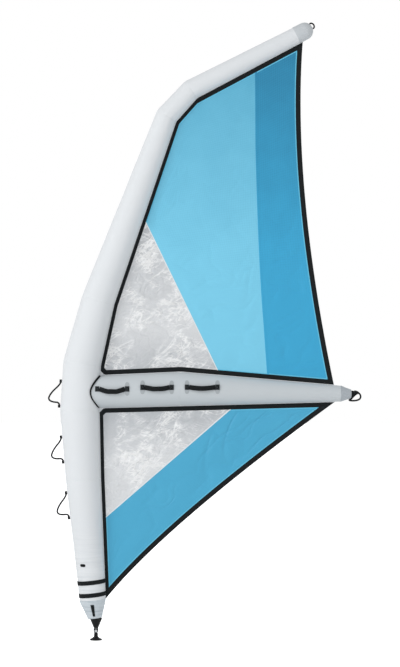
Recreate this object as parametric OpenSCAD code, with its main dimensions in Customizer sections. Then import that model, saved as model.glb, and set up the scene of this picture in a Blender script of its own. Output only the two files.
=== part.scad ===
// Inflatable windsurf sail rig: an air-tube mast and air-tube boom, a sail above the boom and
// one below it, six webbing grips, three luff loops and a jointed foot.
// X runs from the luff to the clew, Y across the sail and Z up. The origin is the middle of
// the foot disc's underside. Millimetres throughout.

/* [Mast tube] */
// Height of the mouth of the foot cone above the deck
mast_mouth_z = 116; // [110:1:140]
// Offset of the mouth of the foot cone along X
mast_mouth_x = -5; // [-12:1:4]
// Diameter at the mouth of the foot cone
mast_mouth_d = 73; // [71:1:90]
// Foot cone panel: length
foot_panel_len = 88; // [75:1:110]
// Foot cone panel: lean towards the clew, in degrees
foot_panel_lean = -7.6; // [-12:0.1:4]
// Foot cone panel: diameter at its top
foot_panel_d = 132; // [112:1:158]
// Lower panel: length
lower_panel_len = 628; // [524:1:753]
// Lower panel: lean in degrees
lower_panel_lean = -4.5; // [-8:0.1:4]
// Lower panel: diameter at its top
lower_panel_d = 180; // [150:1:216]
// Waist panel: length
waist_panel_len = 358; // [300:1:430]
// Waist panel: lean in degrees
waist_panel_lean = -3; // [-6:0.1:4]
// Waist panel: diameter at its top
waist_panel_d = 202; // [180:1:243]
// Boom panel, which the boom leaves: length
boom_panel_len = 248; // [225:1:300]
// Boom panel: lean in degrees
boom_panel_lean = 2.7; // [-2:0.1:6]
// Boom panel: diameter at its top
boom_panel_d = 193; // [175:1:232]
// Shoulder panel: length
shoulder_panel_len = 338; // [280:1:406]
// Shoulder panel: lean in degrees
shoulder_panel_lean = 14.4; // [8:0.1:18]
// Shoulder panel: diameter at its top
shoulder_panel_d = 170; // [140:1:204]
// Upper panel: length
upper_panel_len = 1017; // [845:1:1222]
// Upper panel: lean in degrees
upper_panel_lean = 20.4; // [16:0.1:26]
// Upper panel: diameter at its top
upper_panel_d = 111; // [92:1:134]
// Knee panel: length
knee_panel_len = 186; // [155:1:224]
// Knee panel: lean in degrees
knee_panel_lean = 42.8; // [38:0.1:48]
// Knee panel: diameter at its top
knee_panel_d = 104; // [87:1:125]
// Head panel: length
head_panel_len = 662; // [550:1:795]
// Head panel: lean in degrees
head_panel_lean = 62.8; // [58:0.1:68]
// Head panel: diameter at its top
head_panel_d = 86; // [72:1:104]

/* [Boom tube] */
// Height of the boom's axis where it meets the mast
boom_root_z = 1283; // [1262:1:1310]
// Diameter of the boom at the mast
boom_root_d = 166; // [138:1:175]
// Fore panel of the boom: length from the mast's axis
boom_fore_len = 519; // [432:1:623]
// Fore panel of the boom: rise in degrees
boom_fore_rise = 2; // [-2:0.1:5]
// Diameter of the boom where it is widest
boom_mid_d = 175; // [150:1:210]
// Aft panel of the boom: length
boom_aft_len = 830; // [691:1:996]
// Aft panel of the boom: rise in degrees
boom_aft_rise = -1.7; // [-4:0.1:1]
// Diameter of the boom at its end cap's seam
boom_seam_d = 82; // [68:1:99]
// Length of the boom's end cap
boom_cap_len = 56; // [46:1:68]
// Diameter of the boom's end cap at its tip
boom_cap_d = 50; // [41:1:60]

/* [Cloth and tapes] */
// Wall of the tubes' sleeves
sleeve_wall = 1.2; // [0.8:0.1:2]
// Wall of the air bladders
bladder_wall = 0.8; // [0.5:0.1:1.2]
// Gap between a bladder and its sleeve
bladder_gap = 0.6; // [0.5:0.1:1]
// Thickness of the sail's cloth and film
cloth_t = 1.2; // [0.8:0.1:2]
// Thickness of the sail's edge tapes
tape_t = 3; // [2:0.1:4]
// Width of the tape along the luff, below the head panel
luff_tape_w = 20; // [12:1:28]
// Width of the tape along the head panel, the leech and the boom
edge_tape_w = 26; // [12:1:30]
// Gap between a tape's edge and the tube that it is sewn to
seam_gap = 0.6; // [0.4:0.1:1]
// Cut across the corner between mast and boom
corner_cut = 22; // [14:1:34]

/* [Upper sail] */
// Distance of the head corner from the head panel's end
head_setback = 33; // [28:1:60]
// Distance of the clew corner ahead of the boom cap's seam
upper_clew_setback = 35; // [20:1:150]
// Hollow of the leech
upper_leech_hollow = 68; // [40:1:95]
// Height by which the leech's deepest point is above its middle
upper_leech_lift = 74; // [0:1:90]
// Window seam: height where it meets the luff
window_luff_z = 2189; // [1900:1:2400]
// Window seam: reach where it meets the foot
window_foot_x = 643; // [450:1:760]
// Leech panel's seam: reach at the head
leech_seam_head_x = 829; // [700:1:900]
// Leech panel's seam: reach half-way down
leech_seam_mid_x = 840; // [700:1:900]
// Leech panel's seam: reach at the foot
leech_seam_foot_x = 893; // [780:1:980]

/* [Lower sail] */
// Height of the tack corner above the foot cone's seam
tack_lift = 2; // [1:0.5:10]
// Distance of the clew corner ahead of the boom cap's seam
lower_clew_setback = 30; // [20:1:150]
// Hollow of the leech
lower_leech_hollow = 44; // [20:1:75]
// Distance by which the leech's deepest point is nearer the tack than its middle
lower_leech_shift = 148; // [0:1:180]
// Window seam: reach where it meets the boom
lower_seam_boom_x = 725; // [560:1:860]
// Window seam: height where it meets the luff
lower_seam_luff_z = 622; // [500:1:720]

/* [Grips] */
// Width of the grips' webbing
grip_w = 25; // [20:1:30]
// Thickness of the grips' webbing
grip_t = 2.2; // [1.6:0.1:3]
// Length of the sewn end of a grip
grip_end_len = 22; // [16:1:28]
// Height of the sewn end of a grip
grip_end_h = 27; // [22:1:34]
// Stand-off of a grip from the boom at its middle
grip_bow = 18; // [12:1:24]
// Inner grip: where its fore end lies
inner_grip_x = -1; // [-3:1:20]
// Inner grip: length
inner_grip_len = 176; // [150:1:200]
// Inner grip: sag at its middle
inner_grip_sag = 14; // [4:1:18]
// Middle grip: where its fore end lies
middle_grip_x = 232; // [225:1:260]
// Middle grip: length
middle_grip_len = 172; // [145:1:180]
// Middle grip: sag at its middle
middle_grip_sag = 8; // [4:1:18]
// Outer grip: where its fore end lies
outer_grip_x = 461; // [450:1:500]
// Outer grip: length
outer_grip_len = 179; // [150:1:200]
// Outer grip: sag at its middle
outer_grip_sag = 6; // [4:1:18]
// Width of the reinforcement patch behind a sewn end
patch_w = 24; // [20:1:34]
// Height of the reinforcement patch behind a sewn end
patch_h = 70; // [50:1:84]
// Thickness of the reinforcement patches
patch_t = 0.8; // [0.5:0.1:1.2]

/* [Luff loops] */
// Diameter of the luff loops' cord
cord_d = 8.5; // [5:0.5:10]
// Play of a cord's end in its tab
cord_play = 0.3; // [0.2:0.1:0.6]
// Length of a luff loop's tab
loop_tab_len = 16; // [14:1:24]
// Upper loop: height of its upper tab
upper_loop_z = 1342; // [1335:1:1365]
// Middle loop: height of its upper tab
middle_loop_z = 1052; // [1000:1:1120]
// Lower loop: height of its upper tab
lower_loop_z = 763; // [700:1:860]

/* [Tack straps] */
// Width of the tack bands
band_w = 22; // [16:1:28]
// Thickness of the tack bands
band_t = 2; // [1.2:0.1:3]
// Height of the upper tack band at the mast's axis
band_upper_z = 302; // [290:1:340]
// Height of the lower tack band at the mast's axis
band_lower_z = 237; // [230:1:255]
// Rise of the tack bands towards the clew, in degrees
band_rise = 6; // [0:0.5:10]
// Width of the straps on the foot cone
foot_strap_w = 14; // [10:1:20]
// Length of the straps on the foot cone
foot_strap_len = 62; // [40:1:70]
// Height of the keeper tab on the port side
keeper_z = 392; // [360:1:440]

/* [Foot] */
// Diameter of the foot disc
disc_d = 62; // [54:1:76]
// Height of the foot disc's rim
disc_rim_h = 7; // [5:0.5:9]
// Height at which the disc's flare ends
disc_top_z = 20; // [18:0.5:21]
// Height of the lower hinge's axis
lower_axis_z = 28; // [27:0.5:30]
// Height of the upper hinge's axis
upper_axis_z = 48; // [47:0.5:50]
// Radius of the upper hinge bolt
bolt_r = 4; // [3:0.1:4.5]
// Radius of the lower hinge pin
pin_r = 3; // [2.5:0.1:3.5]
// Running clearance round each pin of the foot
pin_play = 0.05; // [0.02:0.01:0.1]
// Clearance between a fork and the tongue in it
fork_play = 0.4; // [0.3:0.1:0.8]
// Radius of the yoke's spigot in the mast cup
spigot_r = 6; // [5:0.1:7]
// Radius of the tapped hole for the deck bolt: 3.4 for M8
deck_thread_r = 3.4; // [2.5:0.1:4.2]
// Depth of the tapped hole for the deck bolt
deck_thread_len = 12; // [8:0.5:14]

/* [Inflation valve] */
// Height of the valve on the mast
valve_z = 560; // [480:1:700]
// Radius of the valve's neck
valve_neck_r = 14; // [12:0.5:16]
// Radius of the bore that takes the pump's nozzle
valve_bore_r = 10; // [8:0.1:10.5]
// Travel of the valve's plunger
plunger_travel = 4; // [2:0.5:5]

/* [Hidden] */
$fn = 64;

tube_sides = 36;
cord_sides = 8;
skin = 0.3; // what lies on a faceted tube stands this far off it

// ---- Shapes worked out from point grids ----

function flat(rows) = [for (row = rows) each row];
function unit(v) = v / norm(v);
function mix(a, b, t) = a + (b - a) * t;
function bezier(a, b, c, t) = a * (1 - t) * (1 - t) + b * 2 * t * (1 - t) + c * t * t;

// Two triangles on each square of a grid, or the same turned over
function quads(base, rows, cols, spans, over) = [
    for (i = [0 : rows - 2]) for (j = [0 : spans - 1])
        let (a = base + i * cols + j, b = base + i * cols + (j + 1) % cols,
             c = a + cols, d = b + cols)
            each over ? [[a, d, c], [a, b, d]] : [[a, c, d], [a, d, b]]];

// Triangles that join one row of points to the next
function join(a, b) = [
    for (k = [0 : len(a) - 2]) each [[a[k], a[k + 1], b[k + 1]], [a[k], b[k + 1], b[k]]]];

// Closed solid between an outer and an inner grid; a closed grid wraps round in j
module grid_shell(outer, inner, wrap) {
    rows = len(outer);
    cols = len(outer[0]);
    n = rows * cols;
    spans = wrap ? cols : cols - 1;
    first = [for (j = [0 : spans]) j % cols];
    last = [for (j = [0 : spans]) (rows - 1) * cols + j % cols];
    left = [for (i = [0 : rows - 1]) i * cols];
    right = [for (i = [0 : rows - 1]) i * cols + cols - 1];
    sides = wrap ? [] : concat(
        join([for (k = [rows - 1 : -1 : 0]) left[k]], [for (k = [rows - 1 : -1 : 0]) left[k] + n]),
        join(right, [for (k = right) k + n]));
    polyhedron(
        concat(flat(outer), flat(inner)),
        concat(
            quads(0, rows, cols, spans, false), quads(n, rows, cols, spans, true),
            join(first, [for (k = first) k + n]),
            join([for (k = [spans : -1 : 0]) last[k]], [for (k = [spans : -1 : 0]) last[k] + n]),
            sides),
        convexity = 10);
}

// Closed solid through a row of rings
module ring_solid(rings) {
    rows = len(rings);
    cols = len(rings[0]);
    polyhedron(
        flat(rings),
        concat(
            quads(0, rows, cols, cols, false),
            [[for (j = [0 : cols - 1]) j]],
            [[for (j = [cols - 1 : -1 : 0]) (rows - 1) * cols + j]]),
        convexity = 10);
}

// Ring round a point of the XZ plane: its lean is the angle of its axis from +Z towards +X
function ring(c, r, lean, stretch) = [
    for (k = [0 : tube_sides - 1])
        let (a = 360 * k / tube_sides)
            [c[0] + r * stretch * cos(a) * cos(lean), r * sin(a),
                c[1] - r * stretch * cos(a) * sin(lean)]];

// Smooth curve through hand-chosen points, with a number of steps for each span
function spline_point(p, i, t) =
    let (n = len(p) - 1, a = p[max(i - 1, 0)], b = p[i], c = p[min(i + 1, n)], d = p[min(i + 2, n)])
        0.5 * ((2 * b) + (c - a) * t + (2 * a - 5 * b + 4 * c - d) * t * t
            + (3 * b - a - 3 * c + d) * t * t * t);
function spline(p, steps) = concat(
    [for (i = [0 : len(p) - 2]) for (s = [0 : steps - 1]) spline_point(p, i, s / steps)],
    [p[len(p) - 1]]);

// Round cord along a path in the XZ plane
module flat_cord(path, d) {
    n = len(path) - 1;
    ring_solid([
        for (i = [0 : n])
            let (t = unit(path[min(i + 1, n)] - path[max(i - 1, 0)]))
                [for (k = [0 : cord_sides - 1])
                    let (a = 360 * k / cord_sides)
                        [path[i][0] + d / 2 * cos(a) * t[1], d / 2 * sin(a),
                         path[i][1] - d / 2 * cos(a) * t[0]]]]);
}

// ---- Mast ----

mast_panels = [
    [foot_panel_len, foot_panel_lean, foot_panel_d],
    [lower_panel_len, lower_panel_lean, lower_panel_d],
    [waist_panel_len, waist_panel_lean, waist_panel_d],
    [boom_panel_len, boom_panel_lean, boom_panel_d],
    [shoulder_panel_len, shoulder_panel_lean, shoulder_panel_d],
    [upper_panel_len, upper_panel_lean, upper_panel_d],
    [knee_panel_len, knee_panel_lean, knee_panel_d],
    [head_panel_len, head_panel_lean, head_panel_d]];
mast_n = len(mast_panels);
BOOM_PANEL = 3;

function along(lean) = [sin(lean), cos(lean)];
function mast_joint(i) = i == 0 ? [mast_mouth_x, mast_mouth_z]
    : mast_joint(i - 1) + mast_panels[i - 1][0] * along(mast_panels[i - 1][1]);
mast_c = [for (i = [0 : mast_n]) mast_joint(i)];
mast_d = concat([mast_mouth_d], [for (p = mast_panels) p[2]]);
mast_lean = [for (i = [0 : mast_n])
    (mast_panels[max(i - 1, 0)][1] + mast_panels[min(i, mast_n - 1)][1]) / 2];
mast_stretch = [for (i = [0 : mast_n])
    1 / cos((mast_panels[min(i, mast_n - 1)][1] - mast_panels[max(i - 1, 0)][1]) / 2)];
// Where the mast's surface meets the sail's plane behind and ahead of each joint
mast_rear = [for (i = [0 : mast_n])
    mast_c[i] + mast_d[i] / 2 * mast_stretch[i] * [cos(mast_lean[i]), -sin(mast_lean[i])]];
mast_front = [for (i = [0 : mast_n])
    mast_c[i] - mast_d[i] / 2 * mast_stretch[i] * [cos(mast_lean[i]), -sin(mast_lean[i])]];

function mast_ring(i, off) = ring(mast_c[i], mast_d[i] / 2 + off, mast_lean[i], mast_stretch[i]);
function mast_rings(first, last, off) = [for (i = [first : last]) mast_ring(i, off)];
function mast_x(z) = lookup(z, [for (c = mast_c) [c[1], c[0]]]);
function mast_r(z) = lookup(z, [for (i = [0 : mast_n]) [mast_c[i][1], mast_d[i] / 2]]);
function rear_x(z) = lookup(z, [for (p = mast_rear) [p[1], p[0]]]);
function front_x(z) = lookup(z, [for (p = mast_front) [p[1], p[0]]]);

// Level section of the mast: its middle and its half length along X
function level_x(z) = (rear_x(z) + front_x(z)) / 2;
function level_r(z) = (rear_x(z) - front_x(z)) / 2;
// Point on the mast at a height and an angle from the trailing edge, standing off by off
function on_mast(z, a, off) = [
    level_x(z) + (level_r(z) + off) * cos(a), (mast_r(z) + off) * sin(a), z];

// Piece of cloth on the mast, from angle a0 to a1, w wide about the height z at the axis
module mast_patch(z, a0, a1, w, off, t, rise, steps) {
    function height(a, v) = z + tan(rise) * mast_r(z) * cos(a) + v;
    rows = [-w / 2, w / 2];
    angles = [for (s = [0 : steps]) mix(a0, a1, s / steps)];
    grid_shell(
        [for (v = rows) [for (a = angles) on_mast(height(a, v), a, off + t)]],
        [for (v = rows) [for (a = angles) on_mast(height(a, v), a, off)]],
        false);
}

module mast_sleeve() color("whitesmoke") difference() {
    grid_shell(mast_rings(1, mast_n, 0), mast_rings(1, mast_n, -sleeve_wall), true);
    valve_place(-16) cylinder(r = valve_neck_r + skin, h = 30);
    hose_place(-12) cylinder(r = hose_r + skin, h = 30);
}

// How far the bladder's skins lie inside the sleeve
bladder_out = sleeve_wall + bladder_gap;
bladder_in = bladder_out + bladder_wall;
bladder_floor = mast_mouth_z + 22;
bladder_start = [mast_x(bladder_floor), bladder_floor];

// The bladder starts above the mast cup's plug and ends inside the head cap
function bladder_rings(off, ends) = concat(
    [ring(bladder_start + [0, ends], mast_r(bladder_floor) - off, foot_panel_lean, 1)],
    mast_rings(1, mast_n, -off),
    [ring(mast_c[mast_n] + (14 - ends) * along(head_panel_lean), head_panel_d / 2 - off - 5,
        head_panel_lean, 1)]);

module mast_bladder() color("gainsboro") difference() {
    ring_solid(bladder_rings(bladder_out + 0.5, 0));
    ring_solid(bladder_rings(bladder_in + 0.5, bladder_wall));
    valve_place(-20) cylinder(r = valve_neck_r + skin, h = 30);
    hose_place(-16) cylinder(r = hose_r, h = 30);
}

module foot_cone_cover() color("lightsteelblue")
    grid_shell(mast_rings(0, 1, 0.2), mast_rings(0, 1, -sleeve_wall), true);

// Frame at the mast's tip, with Z along the head panel
module tip_place(s) translate([mast_c[mast_n][0], 0, mast_c[mast_n][1]]) rotate([0, head_panel_lean, 0])
    translate([0, 0, s]) children();

cap_wall = 1.4;
cap_len = 50;
cap_r = head_panel_d / 2 + skin + cap_wall;
cap_mouth_r = cap_r + (knee_panel_d - head_panel_d) / 2 * cap_len / head_panel_len;

module dome_profile(r, mouth_r, len) {
    polygon([[0, -len], [mouth_r, -len], [r, 0], [0, 0]]);
    intersection() { circle(r); square(r + 1); }
}

module head_cap() color("dimgray") tip_place(0) difference() {
    rotate_extrude() difference() {
        dome_profile(cap_r, cap_mouth_r, cap_len);
        dome_profile(cap_r - cap_wall, cap_mouth_r - cap_wall, cap_len + 0.01);
    }
    // Slot for the sail's luff tape
    translate([cap_r - 4, -tape_t / 2 - skin, -cap_len - 1])
        cube([10, tape_t + 2 * skin, cap_len - head_setback + 10]);
}

head_loop_r = 13;
head_loop_d = 8;
// Distance of the loop's middle outside the middle of the cap's dome, less the seat's own depth
head_loop_lift = cap_r + head_loop_d / 2 - 7.6;
module head_loop() color("black") tip_place(0) rotate([0, -9, 0])
    translate([0, 0, cap_r + head_loop_d / 2 - 2]) rotate([90, 0, 0]) difference() {
        rotate_extrude() translate([head_loop_r, 0]) circle(d = head_loop_d, $fn = 24);
        translate([0, -head_loop_lift, 0]) sphere(r = cap_r - 0.5, $fn = 96);
    }

// ---- Boom ----

boom_root = [mast_x(boom_root_z), boom_root_z];
function boom_step(len, rise) = len * [cos(rise), sin(rise)];
boom_c = [boom_root, boom_root + boom_step(boom_fore_len, boom_fore_rise),
    boom_root + boom_step(boom_fore_len, boom_fore_rise) + boom_step(boom_aft_len, boom_aft_rise)];
boom_d = [boom_root_d, boom_mid_d, boom_seam_d];
boom_lean = [90 - boom_fore_rise, 90 - (boom_fore_rise + boom_aft_rise) / 2, 90 - boom_aft_rise];
boom_end = boom_c[2] + boom_step(boom_cap_len, boom_aft_rise);

function boom_z(x) = lookup(x, [for (c = boom_c) [c[0], c[1]]]);
function boom_r(x) = lookup(x, [for (i = [0 : 2]) [boom_c[i][0], boom_d[i] / 2]]);
function boom_top(x) = boom_z(x) + boom_r(x);
function boom_bottom(x) = boom_z(x) - boom_r(x);

// Reach of the mast's after side at a height and a distance off the sail's plane
function mast_side_x(y, z, off) =
    level_x(z) + (level_r(z) + off) * sqrt(1 - pow(y / (mast_r(z) + off), 2));
// Ring where the boom, grown by grow, meets the mast, off clear of the mast's surface
function saddle(grow, off) = [
    for (k = [0 : tube_sides - 1])
        let (a = 360 * k / tube_sides,
             x = mast_side_x(boom_root_d / 2 * sin(a), boom_root_z - boom_root_d / 2 * cos(a), 0),
             y = (boom_r(x) + grow) * sin(a), z = boom_z(x) - (boom_r(x) + grow) * cos(a))
            [mast_side_x(y, z, off), y, z]];

function boom_ring(i, off) = ring(boom_c[i], boom_d[i] / 2 + off, boom_lean[i], 1);

module boom_sleeve() color("silver")
    grid_shell(
        [saddle(0, skin), boom_ring(1, 0), boom_ring(2, 0)],
        [saddle(-sleeve_wall, skin), boom_ring(1, -sleeve_wall),
            boom_ring(2, -sleeve_wall)],
        true);

// Fore face of the boom's bladder, the taper behind it and the room left in the end cap
boom_bladder_x = rear_x(boom_root_z) + 40;
bladder_taper_len = 30;
bladder_taper = 10;
bladder_cap_room = 16;
function boom_bladder_rings(off, ends) =
    let (x0 = boom_bladder_x, x1 = boom_bladder_x + bladder_taper_len)
    [ring([x0 + ends, boom_z(x0)], boom_r(x0) - off - bladder_taper, boom_lean[0], 1),
    ring([x1, boom_z(x1)], boom_r(x1) - off, boom_lean[0], 1),
    boom_ring(1, -off),
    boom_ring(2, -off),
    ring(boom_end - boom_step(bladder_cap_room + ends, boom_aft_rise),
        boom_cap_d / 2 - off - 1, boom_lean[2], 1)];

module boom_bladder() color("gainsboro") difference() {
    ring_solid(boom_bladder_rings(bladder_out + 0.5, 0));
    ring_solid(boom_bladder_rings(bladder_in + 0.5, bladder_wall));
    hose_place(20) cylinder(r = hose_r, h = 40);
}

// Black piping sewn over the seam between boom and mast
piping_d = 6;
module boom_root_piping() color("black") {
    c = saddle(piping_d / 2 + skin, piping_d / 2 + 2 * skin);
    n = tube_sides;
    rings = [for (i = [0 : n - 1])
        let (t = unit(c[(i + 1) % n] - c[(i + n - 1) % n]), u = unit(cross([1, 0, 0], t)),
             v = cross(t, u))
            [for (k = [0 : cord_sides - 1])
                let (a = 360 * k / cord_sides) c[i] + piping_d / 2 * (cos(a) * u + sin(a) * v)]];
    closed = concat(rings, [rings[0]]);
    // The tapes of both sails cross the piping in these two gaps
    difference() {
        union() {
            ring_solid([for (i = [0 : n / 2]) closed[i]]);
            ring_solid([for (i = [n / 2 : n]) closed[i]]);
        }
        for (z = [boom_top(0), boom_bottom(0)])
            translate([rear_x(z) - 30, -tape_t / 2 - skin, z - 30]) cube([80, tape_t + 2 * skin, 60]);
    }
}

// Frame on the boom's aft axis, with Z aft
module clew_place(s) translate([boom_c[2][0], 0, boom_c[2][1]]) rotate([0, boom_lean[2], 0])
    translate([0, 0, s]) children();

module clew_cap_profile(inset) {
    r0 = boom_seam_d / 2 + sleeve_wall * 0.4 - inset;
    r1 = boom_cap_d / 2 - inset;
    round = 10;
    polygon([[0, 0.3 - inset], [r0, 0.3 - inset], [r1, boom_cap_len - round],
        [r1 - 3, boom_cap_len - 3 - inset / 2], [r1 - round, boom_cap_len - inset],
        [0, boom_cap_len - inset]]);
}

module clew_cap() color("dimgray") clew_place(0) difference() {
    rotate_extrude() clew_cap_profile(0);
    translate([0, 0, -0.01]) rotate_extrude() clew_cap_profile(sleeve_wall + 0.2);
    translate([-60, -60, -10]) cube([120, 120, 10.3]);
}

// Webbing tab sewn over the end of the boom
clew_tab_len = 22;
clew_tab_h = 33;
clew_tab_t = 10;
clew_tab_lift = 3;
module clew_tab() color("black") clew_place(boom_cap_len + skin)
    translate([-clew_tab_h / 2 - clew_tab_lift, -clew_tab_t / 2, 0])
        cube([clew_tab_h, clew_tab_t, clew_tab_len]);

// Cord loop from the tab round to the underside of the end cap: aft of the boom's end, and up
clew_cord_d = 9;
clew_route = [[14, 15], [24, 14], [36, 6], [45, -5], [46, -14], [38, -23], [22, -29], [4, -32],
    [-12, -33]];
module clew_loop() color("black")
    flat_cord([for (p = spline(clew_route, 2)) boom_end + p], clew_cord_d);

// Hose that carries air from the mast's bladder to the boom's
hose_r = 6;
module hose_place(s) translate([rear_x(boom_root_z), 0, boom_z(rear_x(boom_root_z))])
    rotate([0, boom_lean[0], 0]) translate([0, 0, s]) children();
hose_len = 60;
hose_wall = 1.2;
module transfer_hose() color("gray") hose_place(-10) difference() {
    cylinder(r = hose_r, h = hose_len);
    translate([0, 0, -1]) cylinder(r = hose_r - hose_wall, h = hose_len + 2);
}

// ---- Sails: outlines from the tubes' edges ----

function clear_of_mast(z) = [rear_x(z) + seam_gap, z];

// Upper sail, from the boom corner up the luff, down the leech and back along the boom
upper_corner_z = boom_top(rear_x(boom_top(20))) + seam_gap;
upper_foot_start = rear_x(upper_corner_z) + corner_cut;
head_taper = (knee_panel_d - head_panel_d) / 2 * head_setback / head_panel_len;
upper_head = mast_rear[mast_n] - head_setback * along(head_panel_lean)
    + (head_taper + seam_gap) * [cos(head_panel_lean), -sin(head_panel_lean)];
upper_clew_x = boom_c[2][0] - upper_clew_setback;
upper_clew = [upper_clew_x, boom_top(upper_clew_x) + seam_gap];
upper_pull = (upper_head + upper_clew) / 2 + 2 * [-upper_leech_hollow, upper_leech_lift];
leech_steps = 10;
upper_luff = concat(
    [clear_of_mast(upper_corner_z + corner_cut)],
    [for (i = [BOOM_PANEL + 1 : mast_n - 1]) mast_rear[i] + seam_gap * mast_stretch[i]
        * [cos(mast_lean[i]), -sin(mast_lean[i])]]);
upper_leech = [for (s = [0 : leech_steps])
    bezier(upper_head, upper_pull, upper_clew, s / leech_steps)];
upper_foot = [[boom_c[1][0], boom_top(boom_c[1][0]) + seam_gap],
    [upper_foot_start, boom_top(upper_foot_start) + seam_gap]];
upper_outer = concat(upper_luff, upper_leech, upper_foot);

// Lower sail, from the boom corner down the luff, up the leech and back along the boom
lower_corner_z = boom_bottom(20) - seam_gap;
lower_foot_start = rear_x(lower_corner_z) + corner_cut;
lower_tack = clear_of_mast(mast_rear[1][1] + tack_lift);
lower_clew_x = boom_c[2][0] - lower_clew_setback;
lower_clew = [lower_clew_x, boom_bottom(lower_clew_x) - seam_gap];
lower_chord = unit(lower_tack - lower_clew);
lower_pull = (lower_tack + lower_clew) / 2 + 2 * lower_leech_shift * lower_chord
    + 2 * lower_leech_hollow * [lower_chord[1], -lower_chord[0]];
lower_luff = [
    clear_of_mast(lower_corner_z - corner_cut),
    mast_rear[2] + [seam_gap, 0]];
lower_leech = [for (s = [0 : leech_steps])
    bezier(lower_tack, lower_pull, lower_clew, s / leech_steps)];
lower_foot = [[boom_c[1][0], boom_bottom(boom_c[1][0]) - seam_gap],
    [lower_foot_start, boom_bottom(lower_foot_start) - seam_gap]];
lower_outer = concat(lower_luff, lower_leech, lower_foot);

// Outline moved inwards, its edge i by w[i]; turn is 1 for a clockwise outline
function left_of(v, turn) = turn * [v[1], -v[0]];
function inset(p, w, turn) = let (n = len(p)) [
    for (i = [0 : n - 1])
        let (k = (i + n - 1) % n,
             a = left_of(unit(p[i] - p[k]), turn),
             b = left_of(unit(p[(i + 1) % n] - p[i]), turn),
             bend = a[0] * b[1] - a[1] * b[0])
            abs(bend) < 0.001 ? p[i] + w[i] * b
            : p[i] + [w[k] * b[1] - w[i] * a[1], w[i] * a[0] - w[k] * b[0]] / bend];

// Width of the tape along each edge of an outline whose first edges are the luff's
function tape_widths(outer, luff_edges) =
    [for (i = [0 : len(outer) - 1]) i < luff_edges ? luff_tape_w : edge_tape_w];

upper_inner = inset(upper_outer, tape_widths(upper_outer, len(upper_luff) - 1), 1);
lower_inner = inset(lower_outer, tape_widths(lower_outer, len(lower_luff)), -1);

// Flat piece of the sail, t thick, from an outline in the XZ plane
module ply(t) rotate([90, 0, 0]) translate([0, 0, -t / 2]) linear_extrude(t) children();
module tape(outer, inner, first, last) color("black") ply(tape_t)
    polygon(concat(
        [for (i = [first : last]) outer[i % len(outer)]],
        [for (i = [last : -1 : first]) inner[i % len(inner)]]));

upper_n = len(upper_outer);
upper_head_i = len(upper_luff);
upper_clew_i = upper_head_i + leech_steps;
lower_tack_i = len(lower_luff);
lower_clew_i = lower_tack_i + leech_steps;
lower_n = len(lower_outer);

module upper_luff_tape() tape(upper_outer, upper_inner, 0, upper_head_i);
module upper_leech_tape() tape(upper_outer, upper_inner, upper_head_i, upper_clew_i);
module upper_foot_tape() tape(upper_outer, upper_inner, upper_clew_i, upper_n);
module lower_luff_tape() tape(lower_outer, lower_inner, 0, lower_tack_i);
module lower_leech_tape() tape(lower_outer, lower_inner, lower_tack_i, lower_clew_i);
module lower_boom_tape() tape(lower_outer, lower_inner, lower_clew_i, lower_n);

far = 4000;
// Everything on the luff side of the upper window's seam
window_seam = [[rear_x(window_luff_z), window_luff_z], [window_foot_x, boom_top(window_foot_x)]];
window_run = unit(window_seam[1] - window_seam[0]);
module upper_window_side() polygon([
    window_seam[0] - far * window_run, window_seam[0] + far * window_run,
    window_seam[0] + far * window_run - [far, 0], window_seam[0] - far * window_run - [far, 0]]);
// Everything aft of the leech panel's seam
leech_seam_mid_z = (boom_top(leech_seam_foot_x) + upper_head[1]) / 2;
module upper_leech_side() polygon([
    [leech_seam_head_x, upper_head[1] + 500], [leech_seam_head_x, leech_seam_mid_z + 350],
    [leech_seam_mid_x, leech_seam_mid_z], [leech_seam_foot_x, boom_top(leech_seam_foot_x) - 30],
    [far, boom_bottom(leech_seam_foot_x)], [far, far]]);

module upper_window() color("lightgray", 0.7) ply(cloth_t) intersection() {
    polygon(upper_inner);
    upper_window_side();
}
module upper_leech_panel() color("steelblue") ply(cloth_t) intersection() {
    polygon(upper_inner);
    upper_leech_side();
}
module upper_main_panel() color("skyblue") ply(cloth_t) difference() {
    polygon(upper_inner);
    upper_window_side();
    upper_leech_side();
}

// Everything on the luff side of the lower window's seam
lower_seam = [[rear_x(lower_seam_luff_z), lower_seam_luff_z],
    [lower_seam_boom_x, boom_bottom(lower_seam_boom_x)]];
lower_run = unit(lower_seam[1] - lower_seam[0]);
module lower_window_side() polygon([
    lower_seam[0] - far * lower_run, lower_seam[0] + far * lower_run,
    lower_seam[0] + far * lower_run + [-far, far], lower_seam[0] - far * lower_run + [-far, far]]);

module lower_window() color("lightgray", 0.7) ply(cloth_t) intersection() {
    polygon(lower_inner);
    lower_window_side();
}
module lower_main_panel() color("cadetblue") ply(cloth_t) difference() {
    polygon(lower_inner);
    lower_window_side();
}

// ---- Grips: port is -Y ----

grips = [
    [inner_grip_x, inner_grip_len, inner_grip_sag],
    [middle_grip_x, middle_grip_len, middle_grip_sag],
    [outer_grip_x, outer_grip_len, outer_grip_sag]];
grip_lift = 14;
grip_off = 2 * skin + patch_t;
function grip_fore(g) = grips[g][0] + grip_end_len + skin;
function grip_aft(g) = grips[g][0] + grips[g][1] - grip_end_len - skin;
function grip_z(g) = boom_z((grip_fore(g) + grip_aft(g)) / 2) + grip_lift;

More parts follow.
